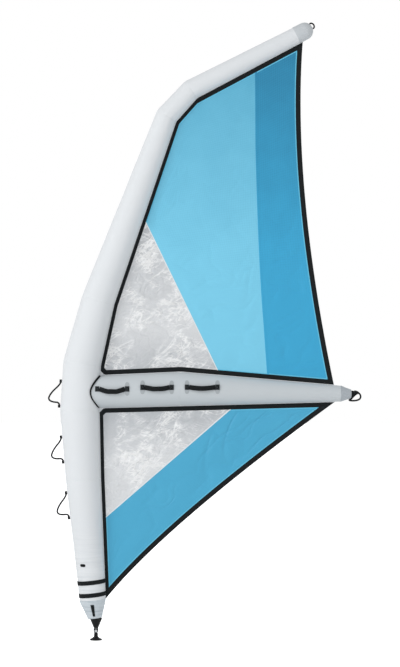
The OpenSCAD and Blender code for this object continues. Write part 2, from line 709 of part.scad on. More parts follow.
// Free middle of a grip: it sags and bows away from the boom between its sewn ends
grip_steps = 12;
module grip(g) {
    function x(s) = mix(grip_fore(g), grip_aft(g), s / grip_steps);
    function hump(s) = 4 * s / grip_steps * (1 - s / grip_steps);
    function y(s) = -(mix(boom_r(grip_fore(g)), boom_r(grip_aft(g)), s / grip_steps)
        + grip_off + grip_bow * hump(s));
    function z(s, v) = grip_z(g) + v * grip_w - grips[g][2] * hump(s);
    rows = [-0.5, 0.5];
    color("black") grid_shell(
        [for (v = rows) [for (s = [0 : grip_steps]) [x(s), y(s) - grip_t, z(s, v)]]],
        [for (v = rows) [for (s = [0 : grip_steps]) [x(s), y(s), z(s, v)]]],
        false);
}
module starboard() mirror([0, 1, 0]) children();

module port_inner_grip() grip(0);
module port_middle_grip() grip(1);
module port_outer_grip() grip(2);
module starboard_inner_grip() starboard() grip(0);
module starboard_middle_grip() starboard() grip(1);
module starboard_outer_grip() starboard() grip(2);

// Sewn ends of the grips
function end_starts() = [for (g = grips) each [g[0], g[0] + g[1] - grip_end_len]];
module grip_end(g, x) {
    y = -max(boom_r(x), boom_r(x + grip_end_len)) - grip_off - grip_t;
    translate([x, y, grip_z(g) - grip_end_h / 2])
        cube([grip_end_len, grip_t, grip_end_h]);
}
module grip_ends() color("black") for (g = [0 : 2]) {
    grip_end(g, grips[g][0]);
    grip_end(g, grips[g][0] + grips[g][1] - grip_end_len);
}
module port_grip_ends() grip_ends();
module starboard_grip_ends() starboard() grip_ends();

// Curved reinforcement patches between the sewn ends and the sleeve; the innermost end has none
module boom_patch(x0, z_mid) {
    steps = 8;
    function point(x, s, off) =
        let (r = boom_r(x) + off, h = mix(-patch_h, patch_h, s / steps) / 2 + z_mid - boom_z(x))
            [x, -sqrt(r * r - h * h), boom_z(x) + h];
    xs = [x0, x0 + patch_w];
    grid_shell(
        [for (x = xs) [for (s = [steps : -1 : 0]) point(x, s, skin + patch_t)]],
        [for (x = xs) [for (s = [steps : -1 : 0]) point(x, s, skin)]],
        false);
}
module grip_patches() color("gray") for (k = [1 : 5])
    boom_patch(end_starts()[k] + (grip_end_len - patch_w) / 2, grip_z(floor(k / 2)));
module port_grip_patches() grip_patches();
module starboard_grip_patches() starboard() grip_patches();

// ---- Luff loops: each turns about the line through its two tabs ----

loop_tab_wall = 1.8;
loop_tab_x = cord_d + 2 * loop_tab_wall;
loop_tab_y = cord_d + 5;
loop_reach = loop_tab_x / 2 + 0.9;
loop_span = 130;
function loop_top(z) = [front_x(z) - loop_reach, z];
function loop_low(z) = [front_x(z - loop_span) - loop_reach, z - loop_span];
// Route of a loop from its upper tab, in steps ahead of the tabs' line and down from the top tab
loop_route = [[0, -7], [0, 8], [5, 18], [15, 31], [29, 46], [42, 62], [52, 79], [56, 92],
    [52, 102], [42, 108], [27, 111], [10, 112], [1, 118], [0, 126], [0, 137]];
function loop_path(z) =
    let (a = loop_top(z), down = unit(loop_low(z) - a), out = [down[1], -down[0]])
        [for (p = spline(loop_route, 2)) a + p[0] * out + p[1] * down];

module luff_loop(z) color("black") flat_cord(loop_path(z), cord_d);
module upper_luff_loop() luff_loop(upper_loop_z);
module middle_luff_loop() luff_loop(middle_loop_z);
module lower_luff_loop() luff_loop(lower_loop_z);

// Folded webbing tabs that hold the cords' ends
module luff_loop_tabs() color("black")
    for (z = [upper_loop_z, middle_loop_z, lower_loop_z]) {
        a = loop_top(z);
        b = loop_low(z);
        lean = atan2(a[0] - b[0], a[1] - b[1]);
        for (p = [a, b]) translate([p[0], 0, p[1]]) rotate([0, lean, 0]) difference() {
            translate([-loop_tab_x / 2, -loop_tab_y / 2, -loop_tab_len / 2])
                cube([loop_tab_x, loop_tab_y, loop_tab_len]);
            cylinder(d = cord_d + 2 * cord_play, h = loop_tab_len + 2, center = true);
        }
    }

// ---- Straps and tabs on the lower mast ----

band_open = 6;
module tack_band(z) color("black")
    mast_patch(z, band_open, 360 - band_open, band_w, skin, band_t, band_rise, 40);
module tack_band_upper() tack_band(band_upper_z);
module tack_band_lower() tack_band(band_lower_z);

module foot_strap() color("black") {
    z = mast_mouth_z + foot_strap_len / 2 + 10;
    spread = foot_strap_w / 2 / mast_r(z) * 180 / PI;
    mast_patch(z, 90 - spread, 90 + spread, foot_strap_len, skin + 0.3, 2, 0, 3);
}
module starboard_foot_strap() foot_strap();
module port_foot_strap() starboard() foot_strap();

module keeper_tab() color("black") starboard()
    mast_patch(keeper_z, 105, 129, 16, skin, 1.6, 0, 6);

// ---- Foot: cup, swivel yoke, cross link and deck disc ----

cup_low_z = 62;
cup_low_r = 11;
cup_top_z = mast_mouth_z - 2;
cup_top_r = mast_mouth_d / 2 - 4.5;
cup_plug_r = mast_mouth_d / 2 - sleeve_wall - 1.2;
cup_plug_h = 14;
cup_shelf_z = cup_low_z + 30;
nut_r = 10;
nut_h = 6;
washer_t = 1;

module mast_cup() color("black") difference() {
    rotate_extrude() polygon([
        [0, cup_low_z], [cup_low_r, cup_low_z], [cup_top_r, cup_top_z - 2], [cup_top_r, cup_top_z],
        [cup_plug_r - 6, cup_top_z], [cup_plug_r - 6, cup_top_z + cup_plug_h],
        [0, cup_top_z + cup_plug_h]]);
    translate([0, 0, cup_low_z - 1])
        cylinder(r = spigot_r + pin_play, h = cup_shelf_z - cup_low_z + 2);
    translate([0, 0, cup_shelf_z]) cylinder(r = nut_r + 2, h = 60);
}

// Fork with its ears at +Y and -Y and a spigot that turns in the cup
ear_in = 6;
ear_out = 11;
ear_r = 12;
yoke_top_z = cup_low_z - washer_t;
tongue_r = 8;
module swivel_yoke() color("black") difference() {
    union() {
        translate([0, 0, upper_axis_z]) rotate([90, 0, 0])
            cylinder(r = ear_r, h = 2 * ear_out, center = true);
        translate([-ear_r, -ear_out, upper_axis_z])
            cube([2 * ear_r, 2 * ear_out, yoke_top_z - upper_axis_z]);
        translate([0, 0, upper_axis_z]) cylinder(r = spigot_r, h = cup_shelf_z + nut_h + 3 - upper_axis_z);
    }
    translate([-ear_r - 1, -ear_in, 0]) cube([2 * ear_r + 2, 2 * ear_in, upper_axis_z + tongue_r + 0.6]);
    translate([0, 0, upper_axis_z]) rotate([90, 0, 0]) cylinder(r = bolt_r, h = 60, center = true);
}
module swivel_nut() color("silver") translate([0, 0, cup_shelf_z + 0.2]) difference() {
    cylinder(r = nut_r, h = nut_h, $fn = 6);
    translate([0, 0, -1]) cylinder(r = spigot_r, h = nut_h + 2);
}
module thrust_washer() color("white") translate([0, 0, yoke_top_z]) difference() {
    cylinder(r = cup_low_r, h = washer_t);
    translate([0, 0, -1]) cylinder(r = spigot_r, h = washer_t + 2);
}

bolt_head_r = 9;
bolt_head_h = 4;
module hinge_bolt() color("silver") translate([0, 0, upper_axis_z]) difference() {
    union() {
        rotate([90, 0, 0]) cylinder(r = bolt_r, h = 2 * ear_out + 6, center = true);
        translate([0, -ear_out, 0]) rotate([90, 0, 0])
            cylinder(r1 = bolt_head_r, r2 = bolt_head_r - 3, h = bolt_head_h);
    }
    translate([-1, -ear_out - bolt_head_h - 1, -bolt_head_r]) cube([2, 2.4, 2 * bolt_head_r]);
}
module hinge_nut() color("silver") translate([0, ear_out, upper_axis_z]) rotate([-90, 0, 0]) difference() {
    cylinder(r = 7.5, h = bolt_head_h, $fn = 6);
    translate([0, 0, -1]) cylinder(r = bolt_r, h = bolt_head_h + 2);
}

// Link between the hinges: one tongue across Y above, one across X below
link_x = 5;
module cross_link() color("gray") difference() {
    union() {
        translate([0, 0, upper_axis_z]) rotate([90, 0, 0])
            cylinder(r = tongue_r, h = 2 * (ear_in - fork_play), center = true);
        translate([-link_x + fork_play, -ear_in + fork_play, lower_axis_z])
            cube([2 * (link_x - fork_play), 2 * (ear_in - fork_play), upper_axis_z - lower_axis_z]);
        translate([0, 0, lower_axis_z]) rotate([0, 90, 0])
            cylinder(r = tongue_r - 0.6, h = 2 * (link_x - fork_play), center = true);
    }
    translate([0, 0, upper_axis_z]) rotate([90, 0, 0])
        cylinder(r = bolt_r + pin_play, h = 60, center = true);
    translate([0, 0, lower_axis_z]) rotate([0, 90, 0])
        cylinder(r = pin_r + pin_play, h = 60, center = true);
}
module lower_hinge_pin() color("silver") translate([0, 0, lower_axis_z]) rotate([0, 90, 0])
    cylinder(r = pin_r, h = 2 * deck_ear_out, center = true);

deck_ear_out = 10;
insert_r = 7;
module deck_disc() color("black") difference() {
    union() {
        rotate_extrude() polygon([
            [0, 0], [disc_d / 2, 0], [disc_d / 2, disc_rim_h - 2], [disc_d / 2 - 2, disc_rim_h],
            [disc_d / 2 - 6, disc_rim_h], [deck_ear_out + 2, disc_top_z - 3],
            [deck_ear_out, disc_top_z], [0, disc_top_z]]);
        intersection() {
            translate([0, 0, lower_axis_z]) rotate([0, 90, 0])
                cylinder(r = tongue_r, h = 2 * deck_ear_out, center = true);
            translate([-20, -20, disc_top_z - 3]) cube(40);
        }
        translate([-deck_ear_out, -tongue_r, disc_top_z - 3])
            cube([2 * deck_ear_out, 2 * tongue_r, lower_axis_z - disc_top_z + 3]);
    }
    translate([-link_x, -20, lower_axis_z - tongue_r]) cube([2 * link_x, 40, 40]);
    translate([0, 0, lower_axis_z]) rotate([0, 90, 0]) cylinder(r = pin_r, h = 60, center = true);
    translate([0, 0, -1]) cylinder(r = insert_r, h = deck_thread_len + 3);
}
module deck_insert() color("silver") difference() {
    cylinder(r = insert_r, h = deck_thread_len + 2);
    translate([0, 0, -1]) cylinder(r = deck_thread_r, h = deck_thread_len + 1);
}

// ---- Inflation valve, on the starboard side ----

// Frame on the mast's starboard side, with Z out along +Y and Y up
module valve_place(s) translate([mast_x(valve_z), mast_r(valve_z), valve_z]) rotate([-90, 180, 0])
    translate([0, 0, s]) children();

valve_flange_r = 22;
seat_r = 7.5;
stem_r = 1.5;
valve_proud = 6;
cap_hinge_r = 18.5;
cap_hinge_out = valve_proud + 2;
hinge_pin_r = 1.2;
module valve_base() color("dimgray") valve_place(0) difference() {
    union() {
        translate([0, 0, -9]) cylinder(r = valve_flange_r, h = 2);
        translate([0, 0, -9]) cylinder(r = valve_neck_r, h = 9 + valve_proud);
        for (side = [-1, 1]) translate([side * 5.5 - 1.5, 0, valve_proud - 3]) {
            translate([0, valve_neck_r - 3, 0]) cube([3, cap_hinge_r - valve_neck_r + 5.4, 3]);
            translate([0, valve_neck_r + 2, 0]) cube([3, cap_hinge_r - valve_neck_r + 0.4, 7]);
        }
    }
    difference() {
        translate([0, 0, -7]) cylinder(r = valve_bore_r, h = 30);
        for (turn = [0, 90]) rotate([0, 0, turn]) translate([-valve_bore_r - 1, -1, -5])
            cube([2 * valve_bore_r + 2, 2, 2.5]);
        translate([0, 0, -5]) cylinder(r = 3.5, h = 2.5);
    }
    translate([0, 0, -10]) cylinder(r = seat_r, h = 4);
    translate([0, 0, -10]) cylinder(r = stem_r + 0.1, h = 20);
    translate([0, cap_hinge_r, cap_hinge_out]) rotate([0, 90, 0])
        cylinder(r = hinge_pin_r, h = 40, center = true);
}
module valve_plunger() color("white") valve_place(0) {
    translate([0, 0, -11.2]) cylinder(r = seat_r + 1.7, h = 1.8);
    translate([0, 0, -11]) cylinder(r = stem_r, h = 13);
}
module valve_cap() color("gray") valve_place(0) difference() {
    union() {
        translate([0, 0, valve_proud + 0.4]) cylinder(r = 15.5, h = 3);
        translate([0, 0, 2.6]) cylinder(r = valve_bore_r - 1.2, h = valve_proud - 2);
        translate([-3.6, 10, valve_proud + 0.4]) cube([7.2, cap_hinge_r - 10, 3]);
        translate([0, cap_hinge_r, cap_hinge_out]) rotate([0, 90, 0])
            cylinder(r = 2, h = 7.2, center = true);
    }
    translate([0, 0, 2]) cylinder(r = valve_bore_r - 3, h = 3.6);
    translate([0, cap_hinge_r, cap_hinge_out]) rotate([0, 90, 0])
        cylinder(r = hinge_pin_r + pin_play, h = 40, center = true);
}
module valve_cap_pin() color("silver") valve_place(0) translate([0, cap_hinge_r, cap_hinge_out])
    rotate([0, 90, 0]) cylinder(r = hinge_pin_r, h = 14, center = true);

mast_sleeve();
mast_bladder();
foot_cone_cover();
head_cap();
head_loop();
boom_sleeve();
boom_bladder();
boom_root_piping();
clew_cap();
clew_tab();
clew_loop();
transfer_hose();
upper_window();
upper_main_panel();
upper_leech_panel();
upper_luff_tape();
upper_leech_tape();
upper_foot_tape();
lower_window();
lower_main_panel();
lower_luff_tape();
lower_leech_tape();
lower_boom_tape();
port_inner_grip();
port_middle_grip();
port_outer_grip();
starboard_inner_grip();
starboard_middle_grip();
starboard_outer_grip();
port_grip_ends();
starboard_grip_ends();
port_grip_patches();
starboard_grip_patches();
upper_luff_loop();
middle_luff_loop();
lower_luff_loop();
luff_loop_tabs();
tack_band_upper();
tack_band_lower();
port_foot_strap();
starboard_foot_strap();
keeper_tab();
mast_cup();
swivel_yoke();
swivel_nut();
thrust_washer();
hinge_bolt();
hinge_nut();
cross_link();
lower_hinge_pin();
deck_disc();
deck_insert();
valve_base();
valve_plunger();
valve_cap();
valve_cap_pin();
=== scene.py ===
"""Visual model of an inflatable windsurf rig: air-tube mast and boom, two sails, grips and foot.

Lengths are millimetres until a mesh is made. X runs from the luff to the clew, Y across the
sail (port is -Y) and Z up, from the underside of the foot disc.
"""

import logging
import math
from dataclasses import dataclass, field
from enum import Enum
from typing import Optional, Sequence

import bpy
import numpy as np
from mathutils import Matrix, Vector


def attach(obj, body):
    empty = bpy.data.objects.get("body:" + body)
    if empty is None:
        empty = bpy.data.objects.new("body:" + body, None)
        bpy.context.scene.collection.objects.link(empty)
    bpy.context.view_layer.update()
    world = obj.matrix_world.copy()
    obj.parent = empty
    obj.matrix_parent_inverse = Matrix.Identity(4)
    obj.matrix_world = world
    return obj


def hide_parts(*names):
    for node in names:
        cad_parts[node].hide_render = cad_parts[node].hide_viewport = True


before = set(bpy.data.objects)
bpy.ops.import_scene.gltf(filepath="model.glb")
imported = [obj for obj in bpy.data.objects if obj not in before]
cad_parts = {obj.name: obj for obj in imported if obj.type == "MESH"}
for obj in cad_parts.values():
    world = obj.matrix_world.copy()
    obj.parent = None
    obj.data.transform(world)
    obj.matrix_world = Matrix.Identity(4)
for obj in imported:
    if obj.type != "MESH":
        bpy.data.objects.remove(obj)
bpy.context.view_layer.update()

MM = 0.001
SEED = 20261119
Y_AXIS = np.array([0.0, 1.0, 0.0])
logging.basicConfig(level=logging.INFO, format="%(message)s")
log = logging.getLogger("rig")


class Side(Enum):
    """Side of the sail's plane; the value is the sign of Y."""

    PORT = -1
    STARBOARD = 1


# ---------------------------------------------------------------- numbers and curves


def unit(v: np.ndarray) -> np.ndarray:
    """Vectors of length one along the last axis."""
    return v / np.maximum(np.linalg.norm(v, axis=-1, keepdims=True), 1e-9)


def smoothstep(x: np.ndarray, low: float, high: float) -> np.ndarray:
    """0 below low, 1 above high, and 3t^2 - 2t^3 between."""
    t = np.clip((x - low) / (high - low), 0.0, 1.0)
    return t * t * (3.0 - 2.0 * t)


def bezier(a: np.ndarray, b: np.ndarray, c: np.ndarray, n: int) -> np.ndarray:
    """n points of the quadratic curve from a to c that b pulls."""
    t = np.linspace(0.0, 1.0, n)[:, None]
    return a * (1 - t) ** 2 + b * 2 * t * (1 - t) + c * t**2


def resample(path: np.ndarray, step: float) -> np.ndarray:
    """Points about step apart along a polyline; its corners are rounded off by linear steps.

    Args:
        path: polyline, one point a row.
        step: distance between points.

    Returns:
        Points at equal distances along the polyline.
    """
    s = np.concatenate([[0.0], np.cumsum(np.linalg.norm(np.diff(path, axis=0), axis=1))])
    at = np.linspace(0.0, s[-1], max(2, int(round(s[-1] / step)) + 1))
    return np.stack([np.interp(at, s, path[:, k]) for k in range(path.shape[1])], axis=1)


def catmull(points: Sequence[Sequence[float]], n: int) -> np.ndarray:
    """Smooth curve through points: the Catmull-Rom cubic of each span, n steps a span.

    Args:
        points: the points, one in each row.
        n: number of steps or points.

    Returns:
        The curve, one point in each row.
    """
    p = np.asarray(points, dtype=float)
    q = np.vstack([p[:1], p, p[-1:]])
    t = (np.arange(n) / n)[None, :, None]
    a, b, c, d = (q[k : k + len(p) - 1][:, None, :] for k in range(4))
    spans = 0.5 * (2 * b + (c - a) * t + (2 * a - 5 * b + 4 * c - d) * t**2
                   + (3 * b - a - 3 * c + d) * t**3)
    return np.vstack([spans.reshape(-1, p.shape[1]), p[-1:]])


def lengths(path: np.ndarray) -> np.ndarray:
    """Distance along a polyline at each of its points."""
    return np.concatenate([[0.0], np.cumsum(np.linalg.norm(np.diff(path, axis=0), axis=1))])


def value_noise(x: np.ndarray, y: np.ndarray, seed: int) -> np.ndarray:
    """Smooth noise from -1 to 1: random values on a unit lattice, blended by smoothstep.

    Args:
        x: the first coordinate.
        y: the second coordinate.
        seed: number that sets the random values.

    Returns:
        The noise at each place.
    """
    table = np.random.default_rng(SEED + seed).uniform(-1.0, 1.0, (256, 256))
    xi, yi = np.floor(x).astype(int), np.floor(y).astype(int)
    fx, fy = smoothstep(x - xi, 0, 1), smoothstep(y - yi, 0, 1)
    a, b = table[xi % 256, yi % 256], table[(xi + 1) % 256, yi % 256]
    c, d = table[xi % 256, (yi + 1) % 256], table[(xi + 1) % 256, (yi + 1) % 256]
    return (a * (1 - fx) + b * fx) * (1 - fy) + (c * (1 - fx) + d * fx) * fy


def creases(x: np.ndarray, z: np.ndarray, size: float, angle: float, stretch: float,
            seed: int) -> np.ndarray:
    """Sharp folds of film or cloth, from 0 to 1: one less the size of noise, to a high power.

    Args:
        x, z: place on the sheet in millimetres.
        size: distance between folds.
        angle: direction that the folds run in, in degrees from X.
        stretch: how many times longer than wide a fold is.
        seed: which draw of the noise.

    Returns:
        Height of the folds.
    """
    c, s = math.cos(math.radians(angle)), math.sin(math.radians(angle))
    u, v = (x * c + z * s) / (size * stretch), (z * c - x * s) / size
    warp = value_noise(u * 1.7 + 9.1, v * 0.8 + 3.3, seed + 1)
    return (1.0 - np.abs(value_noise(u, v + 0.9 * warp, seed))) ** 6


# ---------------------------------------------------------------- meshes


def make_mesh(name: str, points: np.ndarray, faces: np.ndarray, uv: Optional[np.ndarray],
              ends: Sequence[Sequence[int]] = ()) -> bpy.types.Object:
    """Object from points in millimetres, quads and round end faces, shaded smooth.

    Args:
        name: the piece's name.
        points: vertices, one a row.
        faces: quads as rows of four vertex numbers.
        uv: a place on the cloth in metres for each corner of each quad, or None.
        ends: further faces with any number of corners.

    Returns:
        The new object, linked to the scene, its place in its mesh.
    """
    mesh = bpy.data.meshes.new(name)
    mesh.from_pydata((points * MM).tolist(), [], faces.tolist() + [list(e) for e in ends])
    layer = mesh.uv_layers.new(name="UVMap")
    if uv is not None:
        flat = np.zeros((len(mesh.loops), 2))
        flat[: uv.reshape(-1, 2).shape[0]] = uv.reshape(-1, 2)
        layer.data.foreach_set("uv", flat.ravel())
    mesh.polygons.foreach_set("use_smooth", np.ones(len(mesh.polygons), dtype=bool))
    mesh.update()
    obj = bpy.data.objects.new(name, mesh)
    bpy.context.scene.collection.objects.link(obj)
    return obj


def grid_piece(name: str, grid: np.ndarray, wrap: bool = False, closed_ends: bool = False,
               ring: bool = False, sharp: float = 50.0) -> bpy.types.Object:
    """Piece over a grid of points; its UV map is the distance along each way, in metres.

    Args:
        name: the piece's name.
        grid: rows by columns by three, in millimetres.
        wrap: whether the last column joins the first.
        closed_ends: whether the first and last rows are filled.
        ring: whether the last row joins the first.
        sharp: edges that turn more than this many degrees are shaded sharp.

    Returns:
        The new object, its faces pointing outwards if it is closed.
    """
    rows, cols = grid.shape[:2]
    i, j = np.meshgrid(np.arange(rows if ring else rows - 1),
                       np.arange(cols if wrap else cols - 1), indexing="ij")
    i2, j2 = (i + 1) % rows, (j + 1) % cols
    faces = np.stack([i * cols + j, i * cols + j2, i2 * cols + j2, i2 * cols + j], axis=-1)
    mid_row, mid_col = grid[rows // 2], grid[:, 0]
    along = lengths(np.vstack([mid_col, mid_col[:1]])) * MM
    across = lengths(np.vstack([mid_row, mid_row[:1]])) * MM
    uv = np.stack([
        np.stack([across[j], along[i]], -1), np.stack([across[j + 1], along[i]], -1),
        np.stack([across[j + 1], along[i + 1]], -1), np.stack([across[j], along[i + 1]], -1)], -2)
    ends = []
    if closed_ends:
        ends = [list(range(cols - 1, -1, -1)), list(range((rows - 1) * cols, rows * cols))]
    points, quads = grid.reshape(-1, 3), faces.reshape(-1, 4)
    a, b, c, d = (points[quads[:, k]] for k in range(4))
    volume = np.sum(np.cross(a, b) * c) + np.sum(np.cross(a, c) * d)
    uv = uv.reshape(-1, 4, 2)
    if wrap and (closed_ends or ring) and volume < 0:
        quads, uv = quads[:, ::-1], uv[:, ::-1]
        ends = [e[::-1] for e in ends]
    obj = make_mesh(name, points, quads, uv, ends)
    obj.data.set_sharp_from_angle(angle=math.radians(sharp))
    return obj


def thicken(obj: bpy.types.Object, thickness: float) -> bpy.types.Object:
    """Gives an open sheet its thickness in millimetres, half to each side.

    Args:
        obj: the object.
        thickness: its thickness in millimetres.

    Returns:
        The object.
    """
    solid = obj.modifiers.new("thickness", "SOLIDIFY")
    solid.thickness = thickness * MM
    solid.offset = 0.0
    return obj


def sweep(path: np.ndarray, profile: np.ndarray, normal: np.ndarray) -> np.ndarray:
    """Grid of a profile carried along a path.

    A point is the path's own point, plus the profile's first number along the side direction
    (tangent cross normal), plus its second number along the normal.

    Args:
        path: points of the path.
        profile: outline of the section, two numbers a row.
        normal: one normal, or one for each point of the path.

    Returns:
        Rows along the path, columns round the profile.
    """
    tangent = unit(np.gradient(path, axis=0))
    normal = unit(np.broadcast_to(normal, path.shape))
    normal = unit(normal - tangent * np.sum(normal * tangent, axis=1, keepdims=True))
    side = np.cross(tangent, normal)
    return (path[:, None, :] + profile[None, :, 0, None] * side[:, None, :]
            + profile[None, :, 1, None] * normal[:, None, :])


def round_profile(width: float, height: float, power: float = 2.0, n: int = 16) -> np.ndarray:
    """Closed superellipse |x/a|^p + |y/b|^p = 1: an ellipse at p = 2, a rounded bar above.

    Args:
        width: width in millimetres.
        height: height in millimetres.
        power: the power p.
        n: number of steps or points.

    Returns:
        The profile, one point in each row.
    """
    a = np.linspace(0.0, 2.0 * math.pi, n, endpoint=False)
    c, s = np.cos(a), np.sin(a)
    return np.stack([width / 2 * np.sign(c) * np.abs(c) ** (2 / power),
                     height / 2 * np.sign(s) * np.abs(s) ** (2 / power)], axis=1)


def place(obj: bpy.types.Object, body: str, finish: bpy.types.Material, slot: str,
          *nodes: str) -> bpy.types.Object:
    """Finishes a piece: its material, its body and what it stands for.

    Args:
        obj: the object.
        body: body that carries it.
        finish: its material.
        slot: not used.
        nodes: the CAD nodes that it stands for.

    Returns:
        The finished object.
    """
    obj.data.materials.clear()
    obj.data.materials.append(finish)
    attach(obj, body)
    if nodes:
        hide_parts(*nodes)
    log.info("%s: %d vertices on %s", obj.name, len(obj.data.vertices), body)
    return obj


# ---------------------------------------------------------------- finishes


def srgb(code: str) -> tuple[float, float, float, float]:
    """Linear colour with alpha from an sRGB hex code such as #A0B0C0.

    Args:
        code: the hex code.

    Returns:
        Red, green, blue and alpha.
    """
    parts = [int(code[k : k + 2], 16) / 255.0 for k in (1, 3, 5)]
    r, g, b = (c / 12.92 if c <= 0.04045 else ((c + 0.055) / 1.055) ** 2.4 for c in parts)
    return (r, g, b, 1.0)


def add_node(tree: bpy.types.NodeTree, kind: str, inputs: object, **settings: object) -> object:
    """Adds a node.

    Args:
        tree: the node tree.
        kind: the node's type name, after ShaderNode.
        inputs: what each input gets, a value or an output socket: in order, or by name or number.
        settings: the node's own attributes.

    Returns:
        The new node's outputs.
    """
    node = tree.nodes.new("ShaderNode" + kind)
    for key, value in settings.items():
        setattr(node, key, value)
    for key, value in inputs.items() if isinstance(inputs, dict) else enumerate(inputs):
        if isinstance(value, bpy.types.NodeSocket):
            tree.links.new(value, node.inputs[key])
        else:
            node.inputs[key].default_value = value
    return node.outputs


@dataclass(frozen=True)
class Finish:
    """A surface: a main colour, how rough it is, and what a pattern does to both.

    A subclass gives pattern(), which returns a height and a tint, each from 0 to 1.
    """

    name: str
    colour: str
    shade: str
    roughness: float
    bump_mm: float = 0.3
    metallic: float = 0.0
    sheen: float = 0.0
    alpha: float = 1.0
    coat: float = 0.0
    specular: float = 0.5

    def pattern(self, tree: bpy.types.NodeTree) -> tuple:
        """Height and tint sockets of a plain, slightly uneven surface.

        Args:
            tree: the node tree.

        Returns:
            The sockets of the height and the tint.
        """
        place_at = add_node(tree, "TexCoord", {})["Object"]
        noise = add_node(tree, "TexNoise", {"Vector": place_at, "Scale": 90.0, "Detail": 4.0})
        return noise["Fac"], noise["Fac"]

    def build(self) -> bpy.types.Material:
        """Makes the material.

        Returns:
            A principled shader: the tint mixes shade into colour, the height is a bump.
        """
        material = bpy.data.materials.new(self.name)
        material.use_nodes = True
        tree = material.node_tree
        tree.nodes.clear()
        height, tint = self.pattern(tree)
        mix = add_node(tree, "Mix", {0: tint, 6: srgb(self.shade), 7: srgb(self.colour)},
                       data_type="RGBA")
        bump = add_node(tree, "Bump", {"Strength": 0.7, "Distance": self.bump_mm * MM,
                                       "Height": height})
        shader = add_node(tree, "BsdfPrincipled", {
            "Roughness": self.roughness, "Metallic": self.metallic, "Sheen Weight": self.sheen,
            "Alpha": self.alpha, "Coat Weight": self.coat, "Specular IOR Level": self.specular,
            "Emission Color": srgb(self.colour), "Base Color": mix[2], "Normal": bump["Normal"]})
        add_node(tree, "OutputMaterial", {"Surface": shader["BSDF"]})
        return material


@dataclass(frozen=True)
class Woven(Finish):
    """Cloth: threads in two directions across the UV map, and a slow unevenness of colour.

    pitch_mm is the distance between the drawn threads. Real ones are about 0.3 mm apart, too
    fine to show, so the drawn ones are as coarse as they need to be to show.
    """

    pitch_mm: float = 2.0
    rip_mm: float = 0.0
    mottle: float = 0.35
    # painted shade: between these two heights, in metres, the tint darkens towards the top
    top_shade_heights: tuple = ()
    # painted light and shade: how strongly the foot folds lighten and darken the tint
    folds: float = 0.0

    def painted_top_shade(self, tree: bpy.types.NodeTree, height: object) -> object:
        """Painted shade added to the tint, from -0.5 at the first height to 0.5 at the second:
        darker towards the top.
        """
        low, high = self.top_shade_heights
        return add_node(tree, "MapRange", {"Value": height, "From Min": low, "From Max": high,
                                           "To Min": -0.5, "To Max": 0.5})["Result"]

    def foot_folds(self, tree: bpy.types.NodeTree, where: object, height: object) -> object:
        """Level folds 10 mm apart, from -0.5 to 0.5, which die away from 250 to 620 mm up.

        Args:
            tree: the node tree.
            where: the place on the piece.
            height: its height.

        Returns:
            The socket that carries the folds.
        """
        level = add_node(tree, "Mapping", {
            "Vector": where, "Rotation": (0.0, math.radians(7.0), 0.0),
            "Scale": (7.0, 7.0, 100.0)})["Vector"]
        line = add_node(tree, "TexNoise", {"Vector": level, "Scale": 1.0, "Detail": 3.0})["Fac"]
        near = add_node(tree, "MapRange", {"Value": height, "From Min": 0.62,
                                           "From Max": 0.25})["Result"]
        even = add_node(tree, "Math", (line, 0.5), operation="SUBTRACT")[0]
        return add_node(tree, "Math", (even, near), operation="MULTIPLY")[0]

    def ripstop(self, tree: bpy.types.NodeTree, way: object) -> object:
        """1 on the thicker threads that cross one way of the cloth, 0 between them.

        Args:
            tree: the node tree.
            way: one way of the cloth.

        Returns:
            The socket that carries the threads.
        """
        count = add_node(tree, "Math", (way, self.rip_mm * MM), operation="DIVIDE")[0]
        share = add_node(tree, "Math", (count,), operation="FRACT")[0]
        return add_node(tree, "Math", (share, 0.14), operation="LESS_THAN")[0]

    def pattern(self, tree: bpy.types.NodeTree) -> tuple:
        """Height: product of two sine waves. Tint: slow noise, darker at the ripstop lines.

        Args:
            tree: the node tree.

        Returns:
            The sockets of the height and the tint.
        """
        coords = add_node(tree, "TexCoord", {})
        ways = add_node(tree, "SeparateXYZ", (coords["UV"],))
        up = add_node(tree, "SeparateXYZ", (coords["Object"],))[2]
        rate = 2.0 * math.pi / (self.pitch_mm * MM)
        turns = [add_node(tree, "Math", (ways[k], rate), operation="MULTIPLY")[0] for k in (0, 1)]
        waves = [add_node(tree, "Math", (turn,), operation="SINE")[0] for turn in turns]
        weave = add_node(tree, "Math", waves, operation="MULTIPLY")[0]
        noise = add_node(tree, "TexNoise", {"Vector": coords["Object"], "Scale": 7.0,
                                            "Detail": 5.0})["Fac"]
        tint = add_node(tree, "Math", (noise, self.mottle, 0.85 - 0.5 * self.mottle),
                        operation="MULTIPLY_ADD")[0]
        height = add_node(tree, "Math", (weave, 0.25, 0.5), operation="MULTIPLY_ADD")[0]
        # painted shade, darker towards the top
        if self.top_shade_heights:
            tint = add_node(tree, "Math", (tint, self.painted_top_shade(tree, up)), operation="ADD")[0]
        # painted light and shade along the foot folds, besides their bump
        if self.folds:
            push = self.foot_folds(tree, coords["Object"], up)
            tint = add_node(tree, "Math", (push, self.folds, tint), operation="MULTIPLY_ADD")[0]
            height = add_node(tree, "Math", (push, 12.0, height), operation="MULTIPLY_ADD")[0]
        if self.rip_mm:
            for k in (0, 1):
                line = self.ripstop(tree, ways[k])
                tint = add_node(tree, "Math", (line, -0.16, tint), operation="MULTIPLY_ADD")[0]
                height = add_node(tree, "Math", (line, 0.3, height), operation="MULTIPLY_ADD")[0]
        return height, tint


